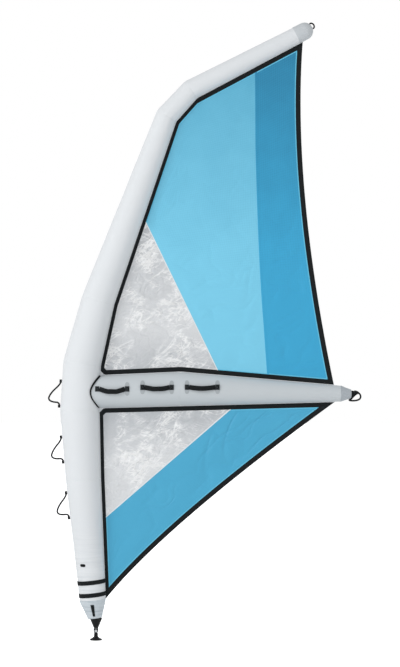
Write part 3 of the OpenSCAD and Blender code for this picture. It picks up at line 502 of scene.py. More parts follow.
@dataclass(frozen=True)
class Webbing(Finish):
    """Webbing or tape: ribs across its length, and two rows of stitches on each face."""

    width_mm: float = 20.0
    thick_mm: float = 3.0
    rib_mm: float = 3.0
    stitch_mm: float = 5.0

    def stitches(self, tree: bpy.types.NodeTree, across: object, along: object) -> object:
        """1 on a stitch: within 0.6 mm of a row, and on seven tenths of each step along it.

        Args:
            tree: the node tree.
            across: distance round the webbing.
            along: distance along it.

        Returns:
            The socket that carries the stitches.
        """
        pitch = (self.width_mm + self.thick_mm) * MM
        face = add_node(tree, "Math", (across, pitch), operation="PINGPONG")[0]
        middle = add_node(tree, "Math", (face, pitch / 2), operation="SUBTRACT")[0]
        edge = add_node(tree, "Math", (middle,), operation="ABSOLUTE")[0]
        row = add_node(tree, "Math", (edge, self.width_mm * MM * 0.36, 0.6 * MM),
                       operation="COMPARE")[0]
        count = add_node(tree, "Math", (along, self.stitch_mm * MM), operation="DIVIDE")[0]
        share = add_node(tree, "Math", (count,), operation="FRACT")[0]
        dash = add_node(tree, "Math", (share, 0.3), operation="GREATER_THAN")[0]
        return add_node(tree, "Math", (row, dash), operation="MULTIPLY")[0]

    def pattern(self, tree: bpy.types.NodeTree) -> tuple:
        """Height: herringbone ribs. Tint: the ribs, lighter where a thread crosses over.

        Args:
            tree: the node tree.

        Returns:
            The sockets of the height and the tint.
        """
        coords = add_node(tree, "TexCoord", {})
        across, along = add_node(tree, "SeparateXYZ", (coords["UV"],))[:2]
        fold = add_node(tree, "Math", (across, self.width_mm * MM / 8), operation="PINGPONG")[0]
        slant = add_node(tree, "Math", (along, fold), operation="ADD")[0]
        turn = add_node(tree, "Math", (slant, 2.0 * math.pi / (self.rib_mm * MM)),
                        operation="MULTIPLY")[0]
        wave = add_node(tree, "Math", (turn,), operation="SINE")[0]
        rib = add_node(tree, "Math", (wave, 0.5, 0.5), operation="MULTIPLY_ADD")[0]
        noise = add_node(tree, "TexNoise", {"Vector": coords["Object"], "Scale": 160.0,
                                            "Detail": 3.0})["Fac"]
        tint = add_node(tree, "Math", (rib, noise), operation="MULTIPLY")[0]
        stitch = self.stitches(tree, across, along)
        return (add_node(tree, "Math", (rib, stitch), operation="ADD")[0],
                add_node(tree, "Math", (stitch, 0.8, tint), operation="MULTIPLY_ADD")[0])


@dataclass(frozen=True)
class Braid(Finish):
    """Braided cord: two sets of strands that wind opposite ways round the UV map."""

    strand_mm: float = 4.0
    round_mm: float = 15.7
    strands: float = 4.0

    def pattern(self, tree: bpy.types.NodeTree) -> tuple:
        """Height and tint: the larger of two slanted sine waves.

        Args:
            tree: the node tree.

        Returns:
            The sockets of the height and the tint.
        """
        ways = add_node(tree, "SeparateXYZ", (add_node(tree, "TexCoord", {})["UV"],))
        rate = 2.0 * math.pi * self.strands / (self.round_mm * MM)
        turn = add_node(tree, "Math", (ways[0], rate), operation="MULTIPLY")[0]
        run = add_node(tree, "Math", (ways[1], 2.0 * math.pi / (self.strand_mm * MM)),
                       operation="MULTIPLY")[0]
        slants = [add_node(tree, "Math", (run, turn), operation=way)[0]
                  for way in ("ADD", "SUBTRACT")]
        waves = [add_node(tree, "Math", (slant,), operation="SINE")[0] for slant in slants]
        top = add_node(tree, "Math", waves, operation="MAXIMUM")[0]
        high = add_node(tree, "Math", (top, 0.5, 0.5), operation="MULTIPLY_ADD")[0]
        return high, high


@dataclass(frozen=True)
class CrinkledFilm(Finish):
    """Clear film: large creases in patches, a fine grain of creases, and painted highlights on
    both.

    The haze is thin near the boom and near the window's upper corner.
    """

    streak_mm: float = 46.0
    grain_mm: float = 7.0
    boom_height: float = 1.27

    def ridges(self, tree: bpy.types.NodeTree, where: object, size_mm: float, turn: float,
               stretch: float, sharp: float) -> object:
        """Creases from 0 to 1: one less the distance of warped noise from its middle, sharpened.

        Args:
            tree: the node tree.
            where: the place on the film.
            size_mm: distance between creases.
            turn: direction that they run in, in degrees from X.
            stretch: how many times longer than wide they are.
            sharp: power that narrows them.

        Returns:
            The socket that carries their height.
        """
        turned = add_node(tree, "Mapping", {
            "Vector": where, "Rotation": (0.0, -math.radians(turn), 0.0),
            "Scale": (stretch, 1.0, 1.0)}, vector_type="TEXTURE")["Vector"]
        noise = add_node(tree, "TexNoise", {
            "Vector": turned, "Scale": 1000.0 / size_mm, "Detail": 4.0, "Roughness": 0.6,
            "Distortion": 0.8})["Fac"]
        off = add_node(tree, "Math", (noise, 0.5), operation="SUBTRACT")[0]
        away = add_node(tree, "Math", (off,), operation="ABSOLUTE")[0]
        near = add_node(tree, "Math", (away, -3.2, 1.0), operation="MULTIPLY_ADD")[0]
        high = add_node(tree, "Math", (near, 0.0), operation="MAXIMUM")[0]
        return add_node(tree, "Math", (high, sharp), operation="POWER")[0]

    def haze(self, tree: bpy.types.NodeTree, where: object) -> object:
        """1 where the film is cloudy, 0 within 120 mm of the boom and above 2150 mm.

        Args:
            tree: the node tree.
            where: the place on the film.

        Returns:
            The socket that carries the haze.
        """
        up = add_node(tree, "SeparateXYZ", (where,))[2]
        off = add_node(tree, "Math", (up, self.boom_height), operation="SUBTRACT")[0]
        away = add_node(tree, "Math", (off,), operation="ABSOLUTE")[0]
        free = add_node(tree, "MapRange", {"Value": away, "From Min": 0.12, "From Max": 0.34})
        low = add_node(tree, "MapRange", {"Value": up, "From Min": 2.15, "From Max": 1.6})
        return add_node(tree, "Math", (free["Result"], low["Result"]), operation="MULTIPLY")[0]

    def pattern(self, tree: bpy.types.NodeTree) -> tuple:
        """Height: both streaks and the grain. Tint: haze, with painted highlights along both.

        Args:
            tree: the node tree.

        Returns:
            The sockets of the height and the tint.
        """
        where = add_node(tree, "TexCoord", {})["Object"]
        long = self.ridges(tree, where, self.streak_mm * 1.3, 40.0, 3.2, 14.0)
        cross = self.ridges(tree, where, self.streak_mm, -12.0, 3.0, 14.0)
        grain = self.ridges(tree, where, self.grain_mm, 20.0, 1.6, 2.0)
        patches = add_node(tree, "TexNoise", {"Vector": where, "Scale": 6.0, "Detail": 2.0})["Fac"]
        # patches where the large creases and their painted highlights show
        highlight_patches = add_node(tree, "MapRange", {"Value": patches, "From Min": 0.44,
                                           "From Max": 0.64})["Result"]
        both = add_node(tree, "Math", (long, cross), operation="ADD")[0]
        streaks = add_node(tree, "Math", (both, highlight_patches), operation="MULTIPLY")[0]
        height = add_node(tree, "Math", (grain, 0.35, streaks), operation="MULTIPLY_ADD")[0]
        # painted light and shade along the fine grain
        thin = add_node(tree, "Math", (grain, 0.16, -0.08), operation="MULTIPLY_ADD")[0]
        tint = add_node(tree, "Math", (self.haze(tree, where), 0.42, thin),
                        operation="MULTIPLY_ADD")[0]
        # painted highlights along the large creases
        return height, add_node(tree, "Math", (streaks, 1.2, tint), operation="MULTIPLY_ADD")[0]


@dataclass
class Finishes:
    """Every material of the rig, each named for the real finish."""

    # Polyester sailcloth with a hard resin finish: almost matt, pale, with a faint thread
    # Painted light and shade along its folds near the foot.
    tube_cloth: bpy.types.Material = field(default_factory=Woven(
        "white_polyester_sailcloth", "#DDDFE1", "#C6CACD", 0.7, 0.12, sheen=0.05,
        pitch_mm=3.0, mottle=0.12, folds=2.4, specular=0.3).build)
    # The same cloth in light grey, on the boom
    boom_cloth: bpy.types.Material = field(default_factory=Woven(
        "grey_polyester_sailcloth", "#C3C8CB", "#B7BDC1", 0.7, 0.12, sheen=0.05,
        pitch_mm=3.0, specular=0.3).build)
    # Heavier woven cloth on the foot cone: bluish grey and duller
    # Painted light and shade along its folds.
    cone_cloth: bpy.types.Material = field(default_factory=Woven(
        "heavy_grey_polyester", "#C6CDD2", "#98A5AD", 0.7, 0.15, pitch_mm=4.0,
        folds=3.6, specular=0.25).build)
    # Reinforced nylon on the ends of the tubes: mid grey with a coarse thread
    cap_cloth: bpy.types.Material = field(default_factory=Woven(
        "reinforced_grey_nylon", "#AEB4B9", "#9AA1A7", 0.6, 0.4, pitch_mm=4.0,
        specular=0.3).build)
    head_cloth: bpy.types.Material = field(default_factory=Woven(
        "reinforced_pale_nylon", "#C3C7CA", "#B2B7BB", 0.6, 0.4, pitch_mm=4.0,
        specular=0.3).build)
    patch_cloth: bpy.types.Material = field(default_factory=Woven(
        "grey_nylon_patch", "#A9AEB1", "#959B9F", 0.65, 0.4, pitch_mm=3.0,
        specular=0.3).build)
    # Ripstop polyester in three blues: a satin face with a grid of thicker threads
    # Painted shade: darker towards the top.
    light_blue: bpy.types.Material = field(default_factory=Woven(
        "light_blue_ripstop", "#78C8E4", "#4A9EBE", 0.48, 0.2, sheen=0.04, pitch_mm=4.0,
        rip_mm=12.0, top_shade_heights=(2.9, 1.5), specular=0.35).build)
    # Painted shade: darker towards the top.
    deep_blue: bpy.types.Material = field(default_factory=Woven(
        "deep_blue_ripstop", "#36A2CD", "#1A6C90", 0.48, 0.2, sheen=0.04, pitch_mm=4.0,
        rip_mm=12.0, top_shade_heights=(3.0, 1.5), specular=0.35).build)
    mid_blue: bpy.types.Material = field(default_factory=Woven(
        "mid_blue_ripstop", "#4BA9CD", "#3B96BB", 0.48, 0.2, sheen=0.04, pitch_mm=4.0,
        rip_mm=12.0, specular=0.35).build)
    hem: bpy.types.Material = field(default_factory=Woven(
        "cyan_hem_tape", "#63BCDA", "#55AECE", 0.5, 0.2, pitch_mm=3.0, specular=0.35).build)
    # Clear PVC film gone hazy: see-through, glossy, with painted highlights along its creases
    film: bpy.types.Material = field(default_factory=CrinkledFilm(
        "crinkled_clear_pvc", "#FFFFFF", "#BFC2C6", 0.24, 4.0, alpha=0.8,
        specular=0.6).build)
    # Polyester binding tape: black, with a soft shine along its ribs
    edge_tape: bpy.types.Material = field(default_factory=Webbing(
        "black_binding_tape", "#1D2427", "#07090A", 0.7, 0.5, width_mm=20.0,
        rib_mm=6.0, specular=0.2).build)
    webbing: bpy.types.Material = field(default_factory=Webbing(
        "black_polyester_webbing", "#1D2326", "#060809", 0.7, 0.5, width_mm=20.0,
        rib_mm=4.0, specular=0.2).build)
    cord: bpy.types.Material = field(default_factory=Braid(
        "black_braided_cord", "#15181A", "#030404", 0.7, 0.5, specular=0.2).build)
    thread: bpy.types.Material = field(default_factory=Finish(
        "grey_polyester_thread", "#4A5054", "#33383B", 0.5, 0.1).build)
    seam_tape: bpy.types.Material = field(default_factory=Webbing(
        "white_seam_tape", "#EDEFF0", "#D5D9DB", 0.6, 0.2, width_mm=12.0,
        rib_mm=3.0).build)
    # Glass-filled nylon, moulded: black, with a fine even grain
    nylon: bpy.types.Material = field(default_factory=Finish(
        "moulded_black_nylon", "#0F1011", "#08090A", 0.55, 0.15, specular=0.25).build)
    # Stainless steel, turned: bright, slightly brushed
    steel: bpy.types.Material = field(default_factory=Finish(
        "turned_stainless_steel", "#D9DBDC", "#B9BCBE", 0.25, 0.05, metallic=1.0).build)
    urethane: bpy.types.Material = field(default_factory=Finish(
        "cast_polyurethane", "#141617", "#0C0D0E", 0.45, 0.1, specular=0.3).build)
    acetal: bpy.types.Material = field(default_factory=Finish(
        "white_acetal", "#E4E3DE", "#D4D3CE", 0.35, 0.05).build)
    silicone: bpy.types.Material = field(default_factory=Finish(
        "grey_silicone_hose", "#9DA1A4", "#898D90", 0.45, 0.1).build)
    bladder: bpy.types.Material = field(default_factory=Finish(
        "clear_polyurethane_bladder", "#DDE2E4", "#CDD3D6", 0.3, 0.2).build)
    valve: bpy.types.Material = field(default_factory=Finish(
        "moulded_grey_valve_plastic", "#62676B", "#505559", 0.45, 0.1).build)


# ---------------------------------------------------------------- the frame of the tubes


@dataclass(frozen=True)
class Panel:
    """One panel of an air tube: its length, its lean from vertical and its top diameter."""

    length: float
    lean: float
    diameter: float


class AirTube:
    """A tube of conical panels whose joints are mitred, in the plane of the sail.

    A joint's ring lies in the plane half-way between its two panels. A point of the surface is
    the straight-line blend of the two rings that it lies between.
    """

    def __init__(self, start: Sequence[float], diameter: float, panels: Sequence[Panel]) -> None:
        """Works out the joints.

        Args:
            start: X and Z of the lower end.
            diameter: diameter there.
            panels: the panels in order.
        """
        lean = np.radians([p.lean for p in panels])
        steps = np.array([p.length for p in panels])[:, None] * np.stack(
            [np.sin(lean), np.cos(lean)], axis=1)
        self.centre = np.vstack([start, np.asarray(start) + np.cumsum(steps, axis=0)])
        self.radius = np.array([diameter] + [p.diameter for p in panels]) / 2
        below, above = np.concatenate([lean[:1], lean]), np.concatenate([lean, lean[-1:]])
        self.lean = (below + above) / 2
        self.stretch = 1 / np.cos((above - below) / 2)
        out = np.stack([np.cos(self.lean), -np.sin(self.lean)], axis=1)
        self.out = out * self.stretch[:, None]
        self.rear = self.centre + self.radius[:, None] * self.out
        self.front = self.centre - self.radius[:, None] * self.out
        self.run = lengths(self.centre)

    def rear_x(self, z: float) -> float:
        """Reach of the tube's after edge at a height."""
        return float(np.interp(z, self.rear[:, 1], self.rear[:, 0]))

    def front_x(self, z: float) -> float:
        """Reach of the tube's leading edge at a height."""
        return float(np.interp(z, self.front[:, 1], self.front[:, 0]))

    def surface(self, s: np.ndarray, angles: np.ndarray, off: float = 0.0,
                soften: float = 0.0) -> np.ndarray:
        """Points of the tube.

        Args:
            s: distances along the centreline, evenly spaced.
            angles: angles round it, from the after edge towards starboard, in radians.
            off: how far the surface stands off.
            soften: length over which the creases at the joints are rounded.

        Returns:
            Rows by distance, columns by angle.
        """
        mid = np.stack([np.interp(s, self.run, self.centre[:, k]) for k in (0, 1)], axis=1)
        out = np.stack([np.interp(s, self.run, (self.radius + off) * self.out[:, k])
                        for k in (0, 1)], axis=1)
        half = np.interp(s, self.run, self.radius + off)
        if soften:
            width = max(3, int(soften / (s[1] - s[0])) | 1)
            kernel = np.hanning(width + 2)[1:-1]
            kernel /= kernel.sum()
            table = np.column_stack([mid, out, half])
            pad = width // 2
            first = table[:1] + (table[:1] - table[1:2]) * np.arange(pad, 0, -1)[:, None]
            last = table[-1:] + (table[-1:] - table[-2:-1]) * np.arange(1, pad + 1)[:, None]
            table = np.vstack([first, table, last])
            table = np.stack([np.convolve(c, kernel, mode="valid") for c in table.T], axis=1)
            mid, out, half = table[:, :2], table[:, 2:4], table[:, 4]
        c, sn = np.cos(angles)[None, :], np.sin(angles)[None, :]
        return np.stack([mid[:, 0:1] + out[:, 0:1] * c, half[:, None] * sn,
                         mid[:, 1:2] + out[:, 1:2] * c], axis=-1)


def mast_tube() -> AirTube:
    """The mast, as the frame has it."""
    return AirTube((-5.0, 116.0), 73.0, [
        Panel(88.0, -7.6, 132.0), Panel(628.0, -4.5, 180.0), Panel(358.0, -3.0, 202.0),
        Panel(248.0, 2.7, 193.0), Panel(338.0, 14.4, 170.0), Panel(1017.0, 20.4, 111.0),
        Panel(186.0, 42.8, 104.0), Panel(662.0, 62.8, 86.0)])


MAST = mast_tube()


@dataclass(frozen=True)
class BoomShape:
    """The boom's axis and radius, from the mast's axis to the end of its cap."""

    root_z: float = 1283.0
    length: tuple = (519.0, 830.0, 56.0)
    rise: tuple = (2.0, -1.7, -1.7)
    diameter: tuple = (166.0, 175.0, 82.0, 50.0)

    @property
    def points(self) -> np.ndarray:
        """Axis points as X and Z."""
        root = np.array([np.interp(self.root_z, MAST.centre[:, 1], MAST.centre[:, 0]),
                         self.root_z])
        rise = np.radians(self.rise)
        steps = np.array(self.length)[:, None] * np.stack([np.cos(rise), np.sin(rise)], axis=1)
        return np.vstack([root, root + np.cumsum(steps, axis=0)])

    def z(self, x: np.ndarray) -> np.ndarray:
        """Height of the axis at a reach."""
        return np.interp(x, self.points[:, 0], self.points[:, 1])

    def r(self, x: np.ndarray) -> np.ndarray:
        """Radius at a reach."""
        return np.interp(x, self.points[:, 0], np.array(self.diameter) / 2)

    def top(self, x: float) -> float:
        """Height of the boom's upper edge at a reach."""
        return float(self.z(x) + self.r(x))

    def bottom(self, x: float) -> float:
        """Height of the boom's lower edge at a reach."""
        return float(self.z(x) - self.r(x))

    def mast_side(self, y: np.ndarray, z: np.ndarray, off: float) -> np.ndarray:
        """Reach of the mast's after side at a distance off the sail's plane and a height.

        Args:
            y: distance off the sail's plane.
            z: height in millimetres.
            off: distance clear of the surface.

        Returns:
            The reach.
        """
        rear = np.interp(z, MAST.rear[:, 1], MAST.rear[:, 0])
        front = np.interp(z, MAST.front[:, 1], MAST.front[:, 0])
        half = np.interp(z, MAST.centre[:, 1], MAST.radius) + off
        return (rear + front) / 2 + ((rear - front) / 2 + off) * np.sqrt(
            np.clip(1 - (y / half) ** 2, 0.0, 1.0))

    def saddle(self, angles: np.ndarray, grow: float, off: float) -> np.ndarray:
        """Curve where the boom, grown by grow, meets the mast, off clear of its surface.

        Args:
            angles: angles round the tube.
            grow: how far the tube is grown.
            off: distance clear of the surface.

        Returns:
            The curve, one point in each row.
        """
        r = self.diameter[0] / 2
        x = self.mast_side(r * np.sin(angles), self.root_z - r * np.cos(angles), 0.0)
        y = (self.r(x) + grow) * np.sin(angles)
        z = self.z(x) - (self.r(x) + grow) * np.cos(angles)
        return np.stack([self.mast_side(y, z, off), y, z], axis=-1)


BOOM = BoomShape()


@dataclass
class Mast:
    """The mast: its sleeve, its foot cone and its head cap."""

    finishes: Finishes
    body: str = "rig"
    soften: float = 26.0

    def wrinkled(self, grid: np.ndarray, s: np.ndarray, angles: np.ndarray) -> np.ndarray:
        """Sleeve cloth on the air inside it.

        Each row moves along its own normal by slow waves, by puckers that run along the tube
        and die away from each seam, and by flat rings round the narrow foot, which the tack
        bands press flat.

        Args:
            grid: the rows of points.
            s: distance along the tube.
            angles: angles round the tube.

        Returns:
            The moved points.
        """
        out = unit(grid - grid.mean(axis=1, keepdims=True))
        ss, aa = np.meshgrid(s, angles, indexing="ij")
        push = 0.5 * value_noise(ss / 130.0, np.cos(aa) * 2 + 7, 1) * np.sin(aa * 2 + ss / 300)
        for k, seam in enumerate(MAST.run[1:-1]):
            near = np.exp(-np.abs(ss - seam) / 34.0)
            push += 1.0 * near * (value_noise(aa * 180.0 / 13.0 / 2, ss / 160.0, 20 + k))
            push -= 0.9 * np.exp(-(((ss - seam) / 4.0) ** 2))
        foot = 1.0 - smoothstep(ss, 160.0, 420.0)
        tilt = ss + 14.0 * np.cos(aa)
        folds = (1.5 * np.abs(value_noise(tilt / 13.0, np.cos(aa) * 1.3 + np.sin(aa) + 4, 31))
                 + 1.3 * np.abs(value_noise(tilt / 8.0, np.cos(aa) * 2.3 - np.sin(aa) + 9, 33)))
        for band in (302.0, 237.0):
            folds *= 1.0 - 0.85 * np.exp(-(((grid[..., 2] - band) / 17.0) ** 4))
        strap = np.exp(-(((grid[..., 2] - 157.0) / 40.0) ** 6)) * np.abs(np.sin(aa)) ** 12
        push += foot * (1.0 - 0.9 * strap) * folds
        return grid + out * push[..., None]

    def sleeve(self) -> bpy.types.Object:
        """Air-tube sleeve from the foot cone's seam to the head."""
        s = np.arange(MAST.run[1], MAST.run[-1], 3.0)
        angles = np.linspace(0, 2 * math.pi, 72, endpoint=False)
        grid = self.wrinkled(MAST.surface(s, angles, 0.0, self.soften), s, angles)
        return place(grid_piece("mast_sleeve_cloth", grid, wrap=True, sharp=80),
                     self.body, self.finishes.tube_cloth, "sleeve_cloth", "mast_sleeve")

    def foot_cone(self) -> bpy.types.Object:
        """Heavier cloth cone below the sleeve, its mouth turned in under the last ring."""
        s = np.arange(0.0, MAST.run[1] + 8.0, 2.5)
        angles = np.linspace(0, 2 * math.pi, 72, endpoint=False)
        grid = MAST.surface(s, angles, 0.3)
        grid = self.wrinkled(grid, s, angles)
        mouth = grid[:1].copy()
        mouth_middle = mouth.mean(axis=1, keepdims=True)
        inner = mouth_middle + (mouth - mouth_middle) * 0.93
        inner[..., 2] += 6.0
        lip = (mouth + inner) / 2 - np.array([0.0, 0.0, 4.5])
        return place(grid_piece("foot_cone_cloth", np.vstack([inner, lip, grid]), wrap=True,
                                sharp=80),
                     self.body, self.finishes.cone_cloth, "cone_cloth", "foot_cone_cover")

    def head_cap(self) -> bpy.types.Object:
        """Reinforced cap: the sleeve's last 50 mm, then a dome that is gathered into gores."""
        lean = MAST.lean[-1]
        axis = np.array([math.sin(lean), 0.0, math.cos(lean)])
        side = np.array([math.cos(lean), 0.0, -math.sin(lean)])
        end = np.array([MAST.centre[-1][0], 0.0, MAST.centre[-1][1]])
        r = MAST.radius[-1] + 1.7
        t = np.linspace(0, math.pi / 2 - 0.03, 22)
        along = np.concatenate([np.linspace(-50, -2, 14), r * np.sin(t)])
        radius = np.concatenate([np.linspace(r + 0.7, r, 14), r * np.cos(t)])
        angles = np.linspace(0, 2 * math.pi, 72, endpoint=False)
        gore = (1 - 0.02 * np.abs(np.cos(angles * 4))[None, :] ** 12
                * smoothstep(along, -4, 30)[:, None])
        lip = np.concatenate([[-1.2], np.zeros(len(along) - 1)])[:, None]
        rr = (radius[:, None] + lip) * gore
        grid = (end + along[:, None, None] * axis + (rr * np.cos(angles))[..., None] * side
                + (rr * np.sin(angles))[..., None] * Y_AXIS)
        return place(grid_piece("head_cap_cloth", grid, wrap=True, closed_ends=True, sharp=70),
                     self.body, self.finishes.head_cloth, "cap_cloth", "head_cap")

    def build(self) -> None:
        """Makes every piece of the mast."""
        self.sleeve()
        self.foot_cone()
        self.head_cap()


@dataclass
class Boom:
    """The boom: its sleeve, the piping at its root and its end cap."""

    finishes: Finishes
    body: str = "rig"

    def sleeve(self) -> bpy.types.Object:
        """Grey sleeve from the saddle seam on the mast to the end cap's seam.

        A row is a ring about the axis, from the saddle curve to a level ring at the cap's seam.
        Puckers run aft from the saddle seam.
        """
        angles = np.linspace(0, 2 * math.pi, 96, endpoint=False)
        first = BOOM.saddle(angles, 0.0, 0.6)
        x1 = BOOM.points[2][0]
        t = np.linspace(0, 1, 260)[:, None]
        x = first[None, :, 0] * (1 - t) + x1 * t
        r = BOOM.r(x)
        push = 0.35 * value_noise(x / 110.0, np.cos(angles)[None, :] * 2 + 5 + x * 0, 41)
        near = np.exp(-(x - first[None, :, 0]) / 42.0)
        push = push + 0.8 * near * value_noise(angles[None, :] * 7.0 + x * 0, x / 190.0, 42)
        kink = BOOM.points[1][0]
        push = push - 0.8 * np.exp(-((x - kink) / 4.0) ** 2)
        push = push + 0.7 * np.exp(-np.abs(x - kink) / 30.0) * value_noise(
            angles[None, :] * 6.0 + x * 0, x / 160.0, 43)
        soft = self.round_kink(x, kink)
        r = (r - soft + push)
        grid = np.stack([x, r * np.sin(angles), BOOM.z(x) - r * np.cos(angles)], axis=-1)
        return place(grid_piece("boom_sleeve_cloth", grid, wrap=True, sharp=80),
                     self.body, self.finishes.boom_cloth, "boom_cloth", "boom_sleeve")

    def round_kink(self, x: np.ndarray, kink: float) -> np.ndarray:
        """How far the crease at the boom's widest place is rounded down."""
        return 0.9 * np.exp(-np.abs(x - kink) / 16.0)

    def piping(self) -> bpy.types.Object:
        """Black piping over the saddle seam, on each side from tape to tape."""
        grids = []
        gap = 0.36
        for sign in (1, -1):
            a = np.linspace(gap, math.pi - gap, 90)
            path = BOOM.saddle(a * sign, 3.0, 3.4)
            grid = sweep(path, round_profile(10.0, 10.0, n=16), np.array([1.0, 0.0, 0.0]))
            thin = 0.6 + 0.4 * smoothstep(a, 0.9, 2.4)
            grids.append(path[:, None] + (grid - path[:, None]) * thin[:, None, None])
        first = grid_piece("boom_root_piping_starboard", grids[0], wrap=True, closed_ends=True)
        second = grid_piece("boom_root_piping_port", grids[1], wrap=True, closed_ends=True)
        place(first, self.body, self.finishes.cord, "black_piping", "boom_root_piping")
        return place(second, self.body, self.finishes.cord, "black_piping")

    def end_cap(self) -> bpy.types.Object:
        """Reinforced cap: a cone from the seam, rounded in at its end, with four darts."""
        p0, p1 = BOOM.points[2], BOOM.points[3]
        axis = np.array([p1[0] - p0[0], 0.0, p1[1] - p0[1]])
        length = float(np.linalg.norm(axis))
        axis = axis / length
        up = np.cross(axis, Y_AXIS)
        r0, r1 = BOOM.diameter[2] / 2 + 0.9, BOOM.diameter[3] / 2 + 0.4
        t = np.linspace(0, math.pi / 2 - 0.05, 12)
        along = np.concatenate([[0.5], np.linspace(0, length - 9, 24), length - 9 + 9 * np.sin(t)])
        radius = np.concatenate([[r0 - 1.4], np.linspace(r0, r1, 24),
                                 r1 - 14 + 14 * np.cos(t)])
        angles = np.linspace(0, 2 * math.pi, 72, endpoint=False)
        dart = (1 - 0.03 * np.abs(np.cos(2 * angles))[None, :] ** 20
                * smoothstep(along, 6, 30)[:, None])
        rr = radius[:, None] * dart
        grid = (np.array([p0[0], 0, p0[1]]) + along[:, None, None] * axis
                + (rr * np.cos(angles))[..., None] * up + (rr * np.sin(angles))[..., None] * Y_AXIS)
        return place(grid_piece("clew_cap_cloth", grid, wrap=True, closed_ends=True, sharp=60),
                     self.body, self.finishes.cap_cloth, "cap_cloth", "clew_cap")

    def build(self) -> None:
        """Makes every piece of the boom."""
        self.sleeve()
        self.piping()
        self.end_cap()


# ---------------------------------------------------------------- sails


def inset(outline: np.ndarray, widths: np.ndarray) -> np.ndarray:
    """Outline moved inwards, each edge by its own width.

    A corner goes to the point whose distances along the normals of the edge before it and the
    edge after it are the widths of those two edges.

    Args:
        outline: corner points in order.
        widths: how far the edge after each corner moves.

    Returns:
        The moved corner points.
    """
    back, ahead = np.roll(outline, 1, axis=0), np.roll(outline, -1, axis=0)
    turn = -np.sign(np.sum(outline[:, 0] * ahead[:, 1] - outline[:, 1] * ahead[:, 0]))
    a, b = unit(outline - back), unit(ahead - outline)
    a = turn * np.stack([a[:, 1], -a[:, 0]], axis=1)
    b = turn * np.stack([b[:, 1], -b[:, 0]], axis=1)
    before, after = np.roll(widths, 1), widths
    bend = a[:, 0] * b[:, 1] - a[:, 1] * b[:, 0]
    return outline + np.stack([before * b[:, 1] - after * a[:, 1],
                               after * a[:, 0] - before * b[:, 0]], axis=1) / bend[:, None]


@dataclass
class SailPlan:
    """Outlines of one sail in the X-Z plane: outer edge, corner numbers and tape widths."""

    outer: np.ndarray
    corners: tuple
    luff_edges: int
    luff_tape: float = 20.0
    edge_tape: float = 26.0

    def inner(self, extra: float = 0.0) -> np.ndarray:
        """Inner edge of the tapes, moved further in by some extra width."""
        wide = np.where(np.arange(len(self.outer)) < self.luff_edges, self.luff_tape,
                        self.edge_tape)
        return inset(self.outer, wide + extra)

    def edge(self, ring: np.ndarray, first: int, last: int) -> np.ndarray:
        """Points of a ring from one corner number to another, wrapping round."""
        return ring[np.arange(first, last + 1) % len(ring)]


SEAM = 0.6
CORNER = 22.0
LEECH_STEPS = 24


def upper_plan() -> SailPlan:
    """Upper sail: up the luff, down the hollow leech and forward along the boom."""
    head_lean = math.radians(62.8)
    taper = (104.0 - 86.0) / 2 * 33.0 / 662.0
    out = np.array([math.cos(head_lean), -math.sin(head_lean)])
    head = MAST.rear[-1] - 33.0 * np.array([math.sin(head_lean), math.cos(head_lean)]) \
        + (taper + SEAM) * out
    clew = np.array([1233.0, BOOM.top(1233.0) + SEAM])
    corner_z = BOOM.top(MAST.rear_x(BOOM.top(20.0))) + SEAM
    foot_x = MAST.rear_x(corner_z) + CORNER
    luff = np.vstack([[MAST.rear_x(corner_z + CORNER) + SEAM, corner_z + CORNER],
                      MAST.rear[4:8] + SEAM * MAST.out[4:8]])
    pull = (head + clew) / 2 + 2 * np.array([-68.0, 74.0])
    leech = bezier(head, pull, clew, LEECH_STEPS + 1)
    kink = BOOM.points[1][0]
    foot = np.array([[kink, BOOM.top(kink) + SEAM], [foot_x, BOOM.top(foot_x) + SEAM]])
    n = len(luff)
    return SailPlan(np.vstack([luff, leech, foot]), (0, n, n + LEECH_STEPS, n + LEECH_STEPS + 3),
                    n - 1)


def lower_plan() -> SailPlan:
    """Lower sail: down the luff, up the hollow leech and forward under the boom."""
    corner_z = BOOM.bottom(20.0) - SEAM
    foot_x = MAST.rear_x(corner_z) + CORNER
    tack_z = MAST.rear[1][1] + 2.0
    tack = np.array([MAST.rear_x(tack_z) + SEAM, tack_z])
    clew = np.array([1238.0, BOOM.bottom(1238.0) - SEAM])
    chord = unit(tack - clew)
    pull = (tack + clew) / 2 + 2 * 148.0 * chord + 2 * 44.0 * np.array([chord[1], -chord[0]])
    luff = np.array([[MAST.rear_x(corner_z - CORNER) + SEAM, corner_z - CORNER],
                     MAST.rear[2] + np.array([SEAM, 0.0])])
    leech = bezier(tack, pull, clew, LEECH_STEPS + 1)
    kink = BOOM.points[1][0]
    foot = np.array([[kink, BOOM.bottom(kink) - SEAM], [foot_x, BOOM.bottom(foot_x) - SEAM]])
    n = len(luff)
    return SailPlan(np.vstack([luff, leech, foot]), (0, n, n + LEECH_STEPS, n + LEECH_STEPS + 3),
                    n)


def coons(bottom: np.ndarray, top: np.ndarray, left: np.ndarray, right: np.ndarray, rows: int,
          cols: int) -> np.ndarray:
    """Grid inside four edges: the sum of both straight blends, less the blend of the corners.

    Args:
        bottom, top: edges from left to right.
        left, right: edges from bottom to top.
        rows, cols: points up and across.

    Returns:
        Rows by columns by two.
    """
    def even(path: np.ndarray, n: int) -> np.ndarray:
        """n points at equal distances along a polyline.

        Args:
            path: the polyline, one point in each row.
            n: number of steps or points.

        Returns:
            The points, one in each row.
        """
        s = lengths(path)
        at = np.linspace(0, s[-1], n)
        return np.stack([np.interp(at, s, path[:, k]) for k in (0, 1)], axis=1)

    b, t = even(bottom, cols)[None], even(top, cols)[None]
    l, r = even(left, rows)[:, None], even(right, rows)[:, None]
    u, v = np.linspace(0, 1, cols)[None, :, None], np.linspace(0, 1, rows)[:, None, None]
    corners = ((1 - u) * (1 - v) * b[:, :1] + u * (1 - v) * b[:, -1:]
               + (1 - u) * v * t[:, :1] + u * v * t[:, -1:])
    return (1 - v) * b + v * t + (1 - u) * l + u * r - corners


